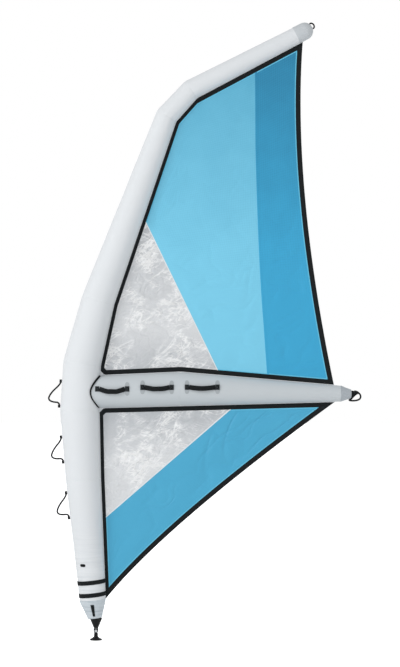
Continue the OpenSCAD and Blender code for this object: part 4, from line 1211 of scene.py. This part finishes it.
def crossing(path: np.ndarray, point: np.ndarray, along: np.ndarray) -> tuple:
    """Where a line through point crosses a polyline: the segment's number and the place.

    Args:
        path: the polyline, one point in each row.
        point: a point of the line.
        along: direction of the line.

    Returns:
        The segment's number and the place.
    """
    side = (path - point) @ np.array([along[1], -along[0]])
    k = int(np.nonzero(np.sign(side[:-1]) != np.sign(side[1:]))[0][0])
    t = side[k] / (side[k] - side[k + 1])
    return k, path[k] + t * (path[k + 1] - path[k])


@dataclass
class Sails:
    """Both sails: panels, windows, seam tapes and edge tapes."""

    finishes: Finishes
    body: str = "rig"
    tuck: float = 5.0
    upper: SailPlan = field(default_factory=upper_plan)
    lower: SailPlan = field(default_factory=lower_plan)

    def panel(self, name: str, plane: np.ndarray, finish: bpy.types.Material, slot: str,
              node: str, film: bool) -> bpy.types.Object:
        """Sheet of cloth or film over a flat grid, with the creases that such a sheet has.

        Args:
            name: the piece's name.
            plane: rows by columns by two, X and Z.
            finish: its material.
            slot: its slot name.
            node: the CAD node that it stands for.
            film: whether it is film, which creases sharply.

        Returns:
            The sheet.
        """
        x, z = plane[..., 0], plane[..., 1]
        v, u = np.meshgrid(np.linspace(0, 1, plane.shape[0]), np.linspace(0, 1, plane.shape[1]),
                           indexing="ij")
        across = np.linalg.norm(plane[:, -1] - plane[:, 0], axis=1)[:, None]
        up = np.linalg.norm(plane[-1] - plane[0], axis=1)[None, :]
        inside = smoothstep(np.minimum(np.minimum(u, 1 - u) * across,
                                       np.minimum(v, 1 - v) * up), 14.0, 70.0)
        y = 2.2 * value_noise(x / 260.0, z / 300.0, 51) * inside
        if film:
            y += inside * (3.4 * creases(x, z, 60.0, 24.0, 2.6, 61)
                           + 2.4 * creases(x, z, 34.0, -38.0, 2.2, 63)
                           + 1.6 * creases(x, z, 20.0, 50.0, 2.4, 65) - 2.2)
        else:
            low = 0.35 + 0.65 * smoothstep(-z, -2500.0, -1500.0)
            y += inside * low * (5.0 * creases(x, z, 150.0, 66.0, 3.0, 71)
                                 + 4.0 * creases(x, z, 90.0, 12.0, 3.0, 73)
                                 + 3.0 * creases(x, z, 60.0, 38.0, 3.0, 75) - 3.2)
        grid = np.stack([x, y, z], axis=-1)
        obj = thicken(grid_piece(name, grid, sharp=180), 0.6)
        place(obj, self.body, finish, slot, node)
        return obj

    def strip(self, name: str, path: np.ndarray, width: float, thick: float,
              finish: bpy.types.Material, slot: str) -> bpy.types.Object:
        """Flat tape along a path in the sail's plane, on both of its faces.

        Args:
            name: the piece's name.
            path: the polyline, one point in each row.
            width: width in millimetres.
            thick: thickness in millimetres.
            finish: its material.
            slot: its slot name.

        Returns:
            The finished object.
        """
        route = resample(path, 12.0)
        route = np.stack([route[:, 0], np.zeros(len(route)), route[:, 1]], axis=1)
        grid = sweep(route, round_profile(width, thick, 6.0, 20), Y_AXIS)
        return place(grid_piece(name, grid, wrap=True, closed_ends=True, sharp=60), self.body,
                     finish, slot)

    def edge_tape(self, name: str, plan: SailPlan, inner: np.ndarray, first: int, last: int,
                  node: str) -> bpy.types.Object:
        """Folded binding tape between an outer and an inner edge, with soft thick borders.

        Args:
            name: the piece's name.
            plan: the sail's plan.
            inner: the inner edge.
            first: where the tape starts.
            last: where it ends.
            node: CAD node that it stands for.

        Returns:
            The finished object.
        """
        outer, inner = plan.edge(plan.outer, first, last), plan.edge(inner, first, last)
        steps = np.linalg.norm(np.diff(outer, axis=0), axis=1)
        counts = np.maximum(1, np.round(steps / 10.0)).astype(int)
        t = np.concatenate([np.arange(n) / n + k for k, n in enumerate(counts)] + [[len(steps)]])
        k = np.arange(len(outer))
        o = np.stack([np.interp(t, k, outer[:, c]) for c in (0, 1)], axis=1)
        i = np.stack([np.interp(t, k, inner[:, c]) for c in (0, 1)], axis=1)
        profile = round_profile(1.0, 1.0, 4.0, 28)
        w, h = profile[:, 0] + 0.5, profile[:, 1]
        thick = 3.4 * (1.0 - 0.30 * np.exp(-(((w - 0.5) / 0.3) ** 2)))
        xz = o[:, None, :] * (1 - w)[None, :, None] + i[:, None, :] * w[None, :, None]
        run = lengths(o)[:, None]
        y = h * thick * (1 + 0.05 * value_noise(run / 25.0 + w * 0, w + run * 0, 81))
        grid = np.stack([xz[..., 0], y, xz[..., 1]], axis=-1)
        return place(grid_piece(name, grid, wrap=True, closed_ends=True, sharp=60), self.body,
                     self.finishes.edge_tape, "edge_tape", node)

    def hems(self, name: str, plan: SailPlan, start: np.ndarray, stop: np.ndarray) -> None:
        """Bright hem inside the tapes of the blue cloth, on luff, leech and foot.

        Args:
            name: prefix of the pieces' names.
            plan: the sail.
            start, stop: ends of the window's seam on the luff and on the boom.
        """
        ring = plan.inner(2.4)
        first, head, clew, end = plan.corners
        luff, leech, foot = (plan.edge(ring, a, b)
                             for a, b in ((first, head), (head, clew), (clew, end)))
        slant = unit(stop - start)
        k, p = crossing(luff, start, slant)
        j, q = crossing(foot, start, slant)
        for part, path in (("luff", np.vstack([p, luff[k + 1 :]])), ("leech", leech),
                           ("foot", np.vstack([foot[: j + 1], q]))):
            self.strip(f"{name}_{part}_hem", path, 5.4, 1.9, self.finishes.hem, "light_blue_cloth")

    def gusset(self, name: str, plan: SailPlan, sign: int) -> None:
        """Corner of cloth between the mast, the boom and the tape that is cut across.

        Args:
            name: the piece's name.
            plan: the sail.
            sign: 1 above the boom, -1 below it.
        """
        a, b = plan.outer[0], plan.outer[-1]
        corner = np.array([a[0] - 6.0, b[1] - 6.0 * sign])
        s, t = np.linspace(0, 1, 12)[:, None, None], np.linspace(0, 1, 12)[None, :, None]
        low, high = a * (1 - s) + corner * s, b * (1 - s) + corner * s
        plane = low * (1 - t) + high * t
        grid = np.stack([plane[..., 0], 0 * plane[..., 0], plane[..., 1]], axis=-1)
        piece = grid_piece(name, grid[:-1], sharp=180)
        place(thicken(piece, 2.4), self.body, self.finishes.tube_cloth, "sleeve_cloth")

    def flanges(self, name: str, plan: SailPlan) -> None:
        """White cloth edges by which the tapes are sewn to the tubes.

        Args:
            name: the piece's name.
            plan: the sail's plan.
        """
        ring = inset(plan.outer, np.full(len(plan.outer), 0.4))
        first, head, clew, end = plan.corners
        for part, a, b in (("luff", first, head), ("foot", clew, end)):
            self.strip(f"{name}_{part}_flange", plan.edge(ring, a, b), 2.6, 4.4,
                       self.finishes.tube_cloth, "sleeve_cloth")

    def build_upper(self) -> None:
        """Window, main panel, leech panel and tapes above the boom."""
        plan = self.upper
        ring = plan.inner(-self.tuck)
        luff0, head, clew, end = plan.corners
        luff = plan.edge(ring, luff0, head)
        foot = plan.edge(ring, clew, end)[::-1]
        leech = plan.edge(ring, head, clew)
        top_of_window = np.array([MAST.rear_x(2189.0), 2189.0])
        low_of_window = np.array([643.0, BOOM.top(643.0)])
        slant = unit(low_of_window - top_of_window)
        ka, a = crossing(luff, top_of_window, slant)
        kb, b = crossing(foot, top_of_window, slant)
        middle = (BOOM.top(893.0) + plan.outer[head][1]) / 2
        kc, c = crossing(foot, np.array([893.0, BOOM.top(893.0)]),
                         np.array([53.0, 30.0 - middle + BOOM.top(893.0)]))
        kd, d = crossing(luff, np.array([829.0, 2500.0]), np.array([0.0, 1.0]))
        seam = np.vstack([c, bezier(np.array([872.0, 1650.0]), np.array([846.0, 1950.0]),
                                    np.array([831.0, 2560.0]), 14), d])
        window = coons(np.vstack([foot[: kb + 1], b]),
                       np.vstack([a, a + np.array([0.5, 0.0])]),
                       np.vstack([foot[:1], luff[: ka + 1], a]), np.vstack([b, a + [0.5, 0.0]]),
                       230, 170)
        main = coons(np.vstack([b, foot[kb + 1 : kc + 1], c]), np.vstack([luff[kd : kd + 1], d]),
                     np.vstack([b, a, luff[ka + 1 : kd + 1]]), seam, 260, 110)
        leech_grid = coons(np.vstack([c, foot[kc + 1 :]]), np.vstack([d, luff[kd + 1 :]]), seam,
                           leech[::-1], 260, 60)
        f = self.finishes
        self.panel("upper_window_film", window, f.film, "window_film", "upper_window", True)
        self.panel("upper_main_cloth", main, f.light_blue, "light_blue_cloth", "upper_main_panel",
                   False)
        self.panel("upper_leech_cloth", leech_grid, f.deep_blue, "deep_blue_cloth",
                   "upper_leech_panel", False)
        self.strip("upper_window_seam_tape", np.vstack([a, b]), 5.0, 2.4, f.seam_tape,
                   "window_film")
        self.strip("upper_leech_seam_tape", seam, 10.0, 2.2, f.deep_blue, "deep_blue_cloth")
        inner = plan.inner()
        self.edge_tape("upper_luff_binding", plan, inner, luff0, head, "upper_luff_tape")
        self.edge_tape("upper_leech_binding", plan, inner, head, clew, "upper_leech_tape")
        self.edge_tape("upper_foot_binding", plan, inner, clew, end, "upper_foot_tape")
        self.hems("upper", plan, top_of_window, low_of_window)
        self.flanges("upper", plan)
        self.gusset("upper_corner_gusset", plan, 1)

    def build_lower(self) -> None:
        """Window, blue panel and tapes below the boom."""
        plan = self.lower
        ring = plan.inner(-self.tuck)
        luff0, tack, clew, end = plan.corners
        luff = plan.edge(ring, luff0, tack)
        foot = plan.edge(ring, clew, end)[::-1]
        leech = plan.edge(ring, tack, clew)
        on_luff = np.array([MAST.rear_x(622.0), 622.0])
        on_boom = np.array([725.0, BOOM.bottom(725.0)])
        slant = unit(on_boom - on_luff)
        kt, t = crossing(luff, on_luff, slant)
        kb, b = crossing(foot, on_luff, slant)
        window = coons(np.vstack([t, t + np.array([0.5, 0.0])]), np.vstack([foot[: kb + 1], b]),
                       np.vstack([t, luff[: kt + 1][::-1], foot[:1]]),
                       np.vstack([t + [0.5, 0.0], b]),
                       190, 190)
        blue = coons(leech, np.vstack([t, b]), np.vstack([luff[kt + 1 :][::-1], t]),
                     np.vstack([leech[-1:], foot[kb + 1 :][::-1], b]), 110, 240)
        f = self.finishes
        self.panel("lower_window_film", window, f.film, "window_film", "lower_window", True)
        self.panel("lower_main_cloth", blue, f.mid_blue, "mid_blue_cloth", "lower_main_panel",
                   False)
        self.strip("lower_window_seam_tape", np.vstack([t, b]), 7.0, 2.4, f.seam_tape,
                   "window_film")
        inner = plan.inner()
        self.edge_tape("lower_luff_binding", plan, inner, luff0, tack, "lower_luff_tape")
        self.edge_tape("lower_leech_binding", plan, inner, tack, clew, "lower_leech_tape")
        self.edge_tape("lower_foot_binding", plan, inner, clew, end, "lower_boom_tape")
        self.hems("lower", plan, on_luff, on_boom)
        self.flanges("lower", plan)
        self.gusset("lower_corner_gusset", plan, -1)

    def build(self) -> None:
        """Makes both sails."""
        self.build_upper()
        self.build_lower()


# ---------------------------------------------------------------- straps, grips and cords


def on_mast(z: np.ndarray, angle: np.ndarray, off: float) -> np.ndarray:
    """Point of the mast's surface at a height and an angle from its after edge, off clear.

    Args:
        z: height in millimetres.
        angle: angle from the after edge, in degrees.
        off: distance clear of the surface.

    Returns:
        The point.
    """
    rear = np.interp(z, MAST.rear[:, 1], MAST.rear[:, 0])
    front = np.interp(z, MAST.front[:, 1], MAST.front[:, 0])
    half = np.interp(z, MAST.centre[:, 1], MAST.radius)
    return np.stack([(rear + front) / 2 + ((rear - front) / 2 + off) * np.cos(angle),
                     (half + off) * np.sin(angle), z + 0 * angle], axis=-1)


@dataclass
class Straps:
    """Bands, straps and the keeper tab on the lower mast."""

    finishes: Finishes
    body: str = "rig"

    def patch(self, name: str, z: float, span: tuple, width: float, thick: float, rise: float,
              slot: str, node: str, taper: float = 0.0, square: bool = True) -> None:
        """Webbing laid round the mast.

        Args:
            name: the piece's name.
            z: height of its middle.
            span: angles at its ends in degrees, from the after edge towards starboard.
            width: its height.
            thick: its thickness.
            rise: slope from front to back, in degrees.
            slot: its slot name.
            node: the CAD node that it stands for.
            taper: share by which its width shrinks downwards.
            square: whether its ends are square; otherwise they are rounded.
        """
        radius = float(np.interp(z, MAST.centre[:, 1], MAST.radius))
        count = max(12, int(math.radians(span[1] - span[0]) * radius / 5.0))
        a = np.radians(np.linspace(span[0], span[1], count))
        profile = round_profile(width, thick, 6.0, 32)
        across, up = profile[:, 0], profile[:, 1]
        t = np.linspace(-1, 1, count)[:, None]
        end = np.ones_like(t) if square else np.maximum(1 - np.abs(t) ** 4, 0.02) ** 0.5
        height = z + math.tan(math.radians(rise)) * radius * np.cos(a)[:, None] + across * end
        turn = a[:, None] + 0 * across
        if taper:
            middle = math.radians(sum(span) / 2)
            turn = middle + (turn - middle) * (1 + taper * across / width)
        ribs = 0.25 * np.cos(across / width * 6 * math.pi)
        base = on_mast(height, turn, 0.0)
        out = unit(np.stack([np.cos(turn), np.sin(turn), 0 * turn], axis=-1))
        grid = base + out * (1.5 + up * (1 + 0.2 * ribs / max(thick, 1)) * np.sqrt(end))[..., None]
        place(grid_piece(name, grid, wrap=True, closed_ends=True), self.body,
              self.finishes.webbing, slot, node)

    def build(self) -> None:
        """Makes the bands, the side straps and the tab."""
        self.patch("upper_tack_webbing", 302, (6, 354), 22, 2.6, 6, "black_webbing",
                   "tack_band_upper")
        self.patch("lower_tack_webbing", 237, (6, 354), 22, 2.6, 6, "black_webbing",
                   "tack_band_lower")
        z = 157.0
        spread = math.degrees(7.0 / float(np.interp(z, MAST.centre[:, 1], MAST.radius)))
        self.patch("starboard_foot_webbing", z, (90 - spread, 90 + spread), 62, 2.4, 0,
                   "black_webbing", "starboard_foot_strap", taper=0.12)
        self.patch("port_foot_webbing", z, (270 - spread, 270 + spread), 62, 2.4, 0,
                   "black_webbing", "port_foot_strap", taper=0.12)
        self.patch("keeper_webbing", 392, (-129, -105), 15, 2.2, 0, "black_webbing",
                   "keeper_tab", square=False)


@dataclass(frozen=True)
class Grip:
    """One webbing grip: where it starts, how long it is and how its middle hangs."""

    name: str
    x: float
    length: float
    sag: float
    waves: tuple = ()

    end: float = 22.0
    skin: float = 0.3

    @property
    def free(self) -> tuple:
        """Reach of the free middle's two ends."""
        return self.x + self.end + self.skin, self.x + self.length - self.end - self.skin

    @property
    def z(self) -> float:
        """Height of the sewn ends' middle."""
        return float(BOOM.z(sum(self.free) / 2)) + 14.0


@dataclass
class Grips:
    """Three grips on each side of the boom, their sewn ends and the patches behind them."""

    finishes: Finishes
    width: float = 25.0
    thick: float = 2.2
    bow: float = 18.0
    clear: float = 1.4
    grips: tuple = (Grip("inner", -1.0, 176.0, 14.0, (2.2, 2.6)),
                    Grip("middle", 232.0, 172.0, 8.0, (1.2, 2.2)),
                    Grip("outer", 461.0, 179.0, 6.0, (0.9, 1.6)))

    def middle(self, grip: Grip, side: Side) -> None:
        """Free middle: it bows out and sags by 4s(1 - s), with a wave sewn in by wear.

        Args:
            grip: the grip.
            side: the side of the boom.
        """
        s = np.linspace(0, 1, 61)
        x0, x1 = grip.free
        hump = 4 * s * (1 - s)
        height, count = grip.waves
        wave = height * np.sin(2 * math.pi * count * s) * hump
        y = BOOM.r(x0) * (1 - s) + BOOM.r(x1) * s + self.clear + self.bow * hump + self.thick / 2
        path = np.stack([x0 + (x1 - x0) * s, side.value * (y + 0.5 * wave),
                         grip.z - grip.sag * hump + 0.4 * wave], axis=1)
        lean = 0.16 * np.sin(2 * math.pi * (count - 0.7) * s) * hump
        normal = np.stack([0 * s, side.value * np.cos(lean), np.sin(lean)], axis=1)
        grid = sweep(path, round_profile(self.width, self.thick, 6.0, 32), normal)
        tag = side.name.lower()
        place(grid_piece(f"{tag}_{grip.name}_grip_webbing", grid, wrap=True, closed_ends=True),
              f"{tag}_{grip.name}_grip_body", self.finishes.webbing, "black_webbing",
              f"{tag}_{grip.name}_grip")

    def sewn_end(self, name: str, x: float, z: float, side: Side, *nodes: str) -> None:
        """Square sewn end with a box and a cross of thread on it.

        Args:
            name: the piece's name.
            x: reach, in millimetres.
            z: height in millimetres.
            side: the side of the boom.
            nodes: the CAD nodes that it stands for.
        """
        y = max(BOOM.r(x), BOOM.r(x + 22.0)) + self.clear + self.thick / 2
        path = np.stack([np.linspace(x, x + 22.0, 12), np.full(12, side.value * y),
                         np.full(12, z)], axis=1)
        normal = np.array([0.0, side.value, 0.0])
        grid = sweep(path, round_profile(27.0, self.thick + 0.6, 8.0, 32), normal)
        place(grid_piece(name, grid, wrap=True, closed_ends=True), "rig", self.finishes.webbing,
              "black_webbing", *nodes)
        c = np.array([x + 11.0, side.value * (y + self.thick / 2 + 0.2), z])
        box = np.array([[-8, -10], [8, -10], [8, 10], [-8, 10], [-8, -10], [8, 10], [8, -10],
                        [-8, 10]])
        line = resample(np.stack([box[:, 0], 0 * box[:, 0], box[:, 1]], axis=1), 1.0) + c
        thread = sweep(line, round_profile(0.9, 0.7, 2.0, 6), normal)
        place(grid_piece(f"{name}_stitches", thread, wrap=True, closed_ends=True), "rig",
              self.finishes.thread, "black_webbing")

    def patch(self, name: str, x: float, z: float, side: Side, *nodes: str) -> None:
        """Oval patch that follows the boom: |v|^3 + |w|^3 = 1, 24 mm by 70 mm.

        Args:
            name: the piece's name.
            x: reach, in millimetres.
            z: height in millimetres.
            side: the side of the boom.
            nodes: the CAD nodes that it stands for.
        """
        v = np.linspace(-0.999, 0.999, 40)[:, None]
        loop = round_profile(2.0, 1.0, 6.0, 28)
        w = 12.0 * (1 - np.abs(v) ** 3) ** (1 / 3) * loop[None, :, 0]
        off = 0.9 + 1.1 * loop[None, :, 1]
        px = x + w
        h = z + 35.0 * v - BOOM.z(px)
        r = BOOM.r(px) + off
        y = np.sqrt(np.maximum(r**2 - h**2, 1.0))
        grid = np.stack([px, side.value * y, BOOM.z(px) + h], axis=-1)
        place(grid_piece(name, grid, wrap=True, closed_ends=True), "rig",
              self.finishes.patch_cloth, "patch_cloth", *nodes)

    def build(self) -> None:
        """Makes the grips of both sides."""
        for side in Side:
            tag = side.name.lower()
            for k, grip in enumerate(self.grips):
                self.middle(grip, side)
                for j, x in enumerate((grip.x, grip.x + grip.length - 22.0)):
                    where = f"{tag}_{grip.name}_grip_{('fore', 'aft')[j]}"
                    first = k == 0 and j == 0
                    self.sewn_end(f"{where}_end", x, grip.z, side,
                                  *([f"{tag}_grip_ends"] if first else []))
                    if not first:
                        self.patch(f"{where}_patch", x + 11.0, grip.z, side,
                                   *([f"{tag}_grip_patches"] if (k, j) == (0, 1) else []))


@dataclass
class Cords:
    """Luff loops in their tabs, the clew loop on its tab and the loop on the head cap."""

    finishes: Finishes
    route: tuple = ((0, -7), (0, 8), (5, 18), (15, 31), (29, 46), (42, 62), (52, 79), (56, 92),
             (52, 102), (42, 108), (27, 111), (10, 112), (1, 118), (0, 126), (0, 137))
    clew_route: tuple = ((14, 14), (24, 13), (36, 6), (45, -5), (47, -16), (41, -27), (27, -33),
                  (10, -35), (-6, -34), (-14, -31))
    wedge_aft: tuple = ((3, 18), (20, 13), (38, 3), (24, -6), (12, -17), (2, -28), (-10, -37))
    wedge_fore: tuple = ((-4, 16), (-4, 9), (-4, 2), (-4, -6), (-4, -14), (-9, -23), (-17, -30))

    def cord(self, name: str, path: np.ndarray, diameter: float, body: str, stiffness: str,
             slot: str, *nodes: str) -> None:
        """Braided cord along a path.

        Args:
            name: the piece's name.
            path: centreline in millimetres.
            diameter: the cord's thickness.
            body: the body that it rides on.
            stiffness: not used.
            slot: its slot name.
            nodes: the CAD nodes that it stands for.
        """
        line = resample(path, diameter / 3.0)
        grid = sweep(line, round_profile(diameter, diameter, 2.0, 18), Y_AXIS)
        obj = place(grid_piece(name, grid, wrap=True, closed_ends=True), body, self.finishes.cord,
                    slot, *nodes)

    def tab(self, name: str, at: np.ndarray, along: np.ndarray, *nodes: str) -> None:
        """Webbing folded round a cord: a soft-cornered block with the cord's hole through it.

        Args:
            name: the piece's name.
            at: its place.
            along: direction of the line.
            nodes: the CAD nodes that it stands for.
        """
        side = np.array([along[2], 0.0, -along[0]])
        outer, inner = round_profile(12.7, 13.5, 4.0, 40), round_profile(9.1, 9.1, 2.0, 40)
        rows = [(-8.0, inner, 1.0), (-8.0, outer, 0.86), (-7.4, outer, 0.97), (-6.4, outer, 1.0),
                (-2.0, outer, 0.97), (2.0, outer, 0.97), (6.4, outer, 1.0), (7.4, outer, 0.97),
                (8.0, outer, 0.86), (8.0, inner, 1.0)]
        grid = np.stack([at + along * h + (p[:, :1] * k) * side + (p[:, 1:] * k) * Y_AXIS
                         for h, p, k in rows])
        place(grid_piece(name, grid, wrap=True, ring=True, sharp=40), "rig",
              self.finishes.webbing, "black_webbing", *nodes)

    def luff_loops(self) -> None:
        """Three stiff cord loops, each between an upper and a lower tab."""
        for k, (tag, z) in enumerate((("upper", 1342.0), ("middle", 1052.0), ("lower", 763.0))):
            top = np.array([MAST.front_x(z) - 6.95, z])
            low = np.array([MAST.front_x(z - 130.0) - 6.95, z - 130.0])
            down = unit(low - top)
            out = np.array([down[1], -down[0]])
            bend = catmull(self.route, 8)
            flat = top + bend[:, :1] * out + bend[:, 1:] * down
            path = np.stack([flat[:, 0], 0 * flat[:, 0], flat[:, 1]], axis=1)
            self.cord(f"{tag}_luff_cord", path, 8.5, f"{tag}_loop", "stiff", "black_cord",
                      f"{tag}_luff_loop")
            along = np.array([down[0], 0.0, down[1]])
            for j, p in enumerate((top, low)):
                self.tab(f"{tag}_luff_tab_{('top', 'low')[j]}", np.array([p[0], 0.0, p[1]]), along,
                         *(["luff_loop_tabs"] if k + j == 0 else []))

    def clew(self) -> None:
        """Folded tab on the boom's end and the cord loop through it."""
        end = BOOM.points[-1]
        bend = catmull(self.clew_route, 8) + end
        path = np.stack([bend[:, 0], 0 * bend[:, 0], bend[:, 1]], axis=1)
        self.cord("clew_cord", path, 9.0, "rig", "stiff", "black_cord", "clew_loop")
        aft, fore = (catmull(edge, 6) + end for edge in (self.wedge_aft, self.wedge_fore))
        around = round_profile(1.0, 1.0, 4.0, 32) * 2.0
        share = np.linspace(0.0, 1.0, len(aft))
        thick = 5.4 - 1.4 * smoothstep(share, 0.4, 0.8)
        middle, half = (aft + fore) / 2, (aft - fore) / 2
        flat = middle[:, None] + half[:, None] * around[None, :, :1]
        grid = np.stack([flat[..., 0], thick[:, None] * around[None, :, 1], flat[..., 1]], axis=-1)
        place(grid_piece("clew_tab_webbing", grid, wrap=True, closed_ends=True), "rig",
              self.finishes.webbing, "black_webbing", "clew_tab")

    def head(self) -> None:
        """Cord loop on the tip of the head cap, both of its ends sewn into the cap."""
        lean = MAST.lean[-1]
        axis = np.array([math.sin(lean), 0.0, math.cos(lean)])
        turn = math.radians(-9.0)
        side = np.array([math.cos(lean), 0.0, -math.sin(lean)])
        way = axis * math.cos(turn) + side * math.sin(turn)
        flank = np.cross(Y_AXIS, way)
        tip = np.array([MAST.centre[-1][0], 0.0, MAST.centre[-1][1]])
        centre = tip + way * (44.7 + 4.0 - 2.0)
        a = np.linspace(-0.64 * math.pi, 0.64 * math.pi, 60)
        path = centre + 11.0 * np.cos(a)[:, None] * way + 15.0 * np.sin(a)[:, None] * flank
        self.cord("head_cord", path, 8.0, "rig", "stiff", "black_webbing", "head_loop")

    def build(self) -> None:
        """Makes every cord and tab."""
        self.luff_loops()
        self.clew()
        self.head()


# ---------------------------------------------------------------- stage


@dataclass
class Studio:
    """White studio: floor, soft key light from the luff side, and the camera."""

    centre: tuple = (0.539, 0.0, 1.588)
    distance: float = 12.48
    lens: float = 130.0
    floor_glow: float = 0.7
    cast_light: float = 0.68

    def floor(self) -> None:
        """Wide pale floor under the foot."""
        t = np.linspace(-30000.0, 30000.0, 3)
        x, y = np.meshgrid(t, t, indexing="ij")
        floor = grid_piece("studio_floor", np.stack([x, y, x * 0 - 1.0], axis=-1))
        material = Finish("pale_studio_floor", "#FFFFFF", "#FDFDFD", 0.95, 0.0,
                          specular=0.0).build()
        floor.data.materials.append(material)
        tree = material.node_tree
        shader = next(n for n in tree.nodes if n.type == "BSDF_PRINCIPLED")
        seen_by_camera = add_node(tree, "LightPath", {})["Is Camera Ray"]
        seen = add_node(tree, "Math", (seen_by_camera, self.floor_glow), operation="MULTIPLY")[0]
        tree.links.new(seen, shader.inputs["Emission Strength"])

    def light(self, name: str, place_at: Sequence[float], size: float, power: float) -> None:
        """Soft square light that faces the middle of the rig.

        Args:
            name: the piece's name.
            place_at: where the light stands.
            size: its size in metres.
            power: its power in watts.
        """
        data = bpy.data.lights.new(name, "AREA")
        data.shape = "SQUARE"
        data.size = size
        data.energy = power
        lamp = bpy.data.objects.new(name, data)
        lamp.location = place_at
        aim = Vector(self.centre) - Vector(place_at)
        lamp.rotation_euler = aim.to_track_quat("-Z", "Y").to_euler()
        bpy.context.scene.collection.objects.link(lamp)

    def world(self) -> None:
        """White surroundings: full white to the camera, dimmer as light."""
        world = bpy.data.worlds.new("white_studio")
        world.use_nodes = True
        tree = world.node_tree
        tree.nodes.clear()
        seen_by_camera = add_node(tree, "LightPath", {})["Is Camera Ray"]
        seen = add_node(tree, "Background", ((1, 1, 1, 1), 1.0))[0]
        cast = add_node(tree, "Background", ((0.965, 0.985, 1, 1), self.cast_light))[0]
        mix = add_node(tree, "MixShader", (seen_by_camera, cast, seen))[0]
        add_node(tree, "OutputWorld", {"Surface": mix})
        bpy.context.scene.world = world

    def camera(self) -> None:
        """Level camera square on to the port side."""
        data = bpy.data.cameras.new("camera")
        data.lens = self.lens
        data.clip_end = 100.0
        cam = bpy.data.objects.new("camera", data)
        cam.location = (self.centre[0], -self.distance, self.centre[2])
        cam.rotation_euler = (math.pi / 2, 0.0, 0.0)
        bpy.context.scene.collection.objects.link(cam)
        bpy.context.scene.camera = cam

    def build(self) -> None:
        """Camera, lights, world and floor."""
        self.camera()
        self.world()
        self.light("key_from_luff", (-5.5, -5.0, 4.5), 3.0, 260.0)
        self.light("fill_from_clew", (6.0, -6.0, 2.5), 5.0, 60.0)
        self.light("back_fill", (3.0, 7.0, 4.0), 4.0, 90.0)
        self.floor()
        view = bpy.context.scene.view_settings
        view.view_transform = "Standard"
        view.look = "None"


def dress_cad(finishes: Finishes) -> None:
    """Gives the CAD nodes that stay their real finishes."""
    by_node = {
        "mast_cup": finishes.nylon, "swivel_yoke": finishes.nylon, "deck_disc": finishes.nylon,
        "cross_link": finishes.urethane, "thrust_washer": finishes.acetal,
        "swivel_nut": finishes.steel, "hinge_bolt": finishes.steel, "hinge_nut": finishes.steel,
        "lower_hinge_pin": finishes.steel, "deck_insert": finishes.steel,
        "valve_cap_pin": finishes.steel, "valve_base": finishes.valve,
        "valve_cap": finishes.valve, "valve_plunger": finishes.acetal,
        "mast_bladder": finishes.bladder, "boom_bladder": finishes.bladder,
        "transfer_hose": finishes.silicone}
    for name, material in by_node.items():
        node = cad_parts[name]
        node.data.materials.clear()
        node.data.materials.append(material)


def main() -> None:
    """Builds the stage and then every sub-assembly."""
    Studio().build()
    finishes = Finishes()
    dress_cad(finishes)
    Mast(finishes).build()
    Boom(finishes).build()
    Sails(finishes).build()
    Straps(finishes).build()
    Grips(finishes).build()
    Cords(finishes).build()


if __name__ == "__main__":
    main()
    bpy.context.view_layer.update()
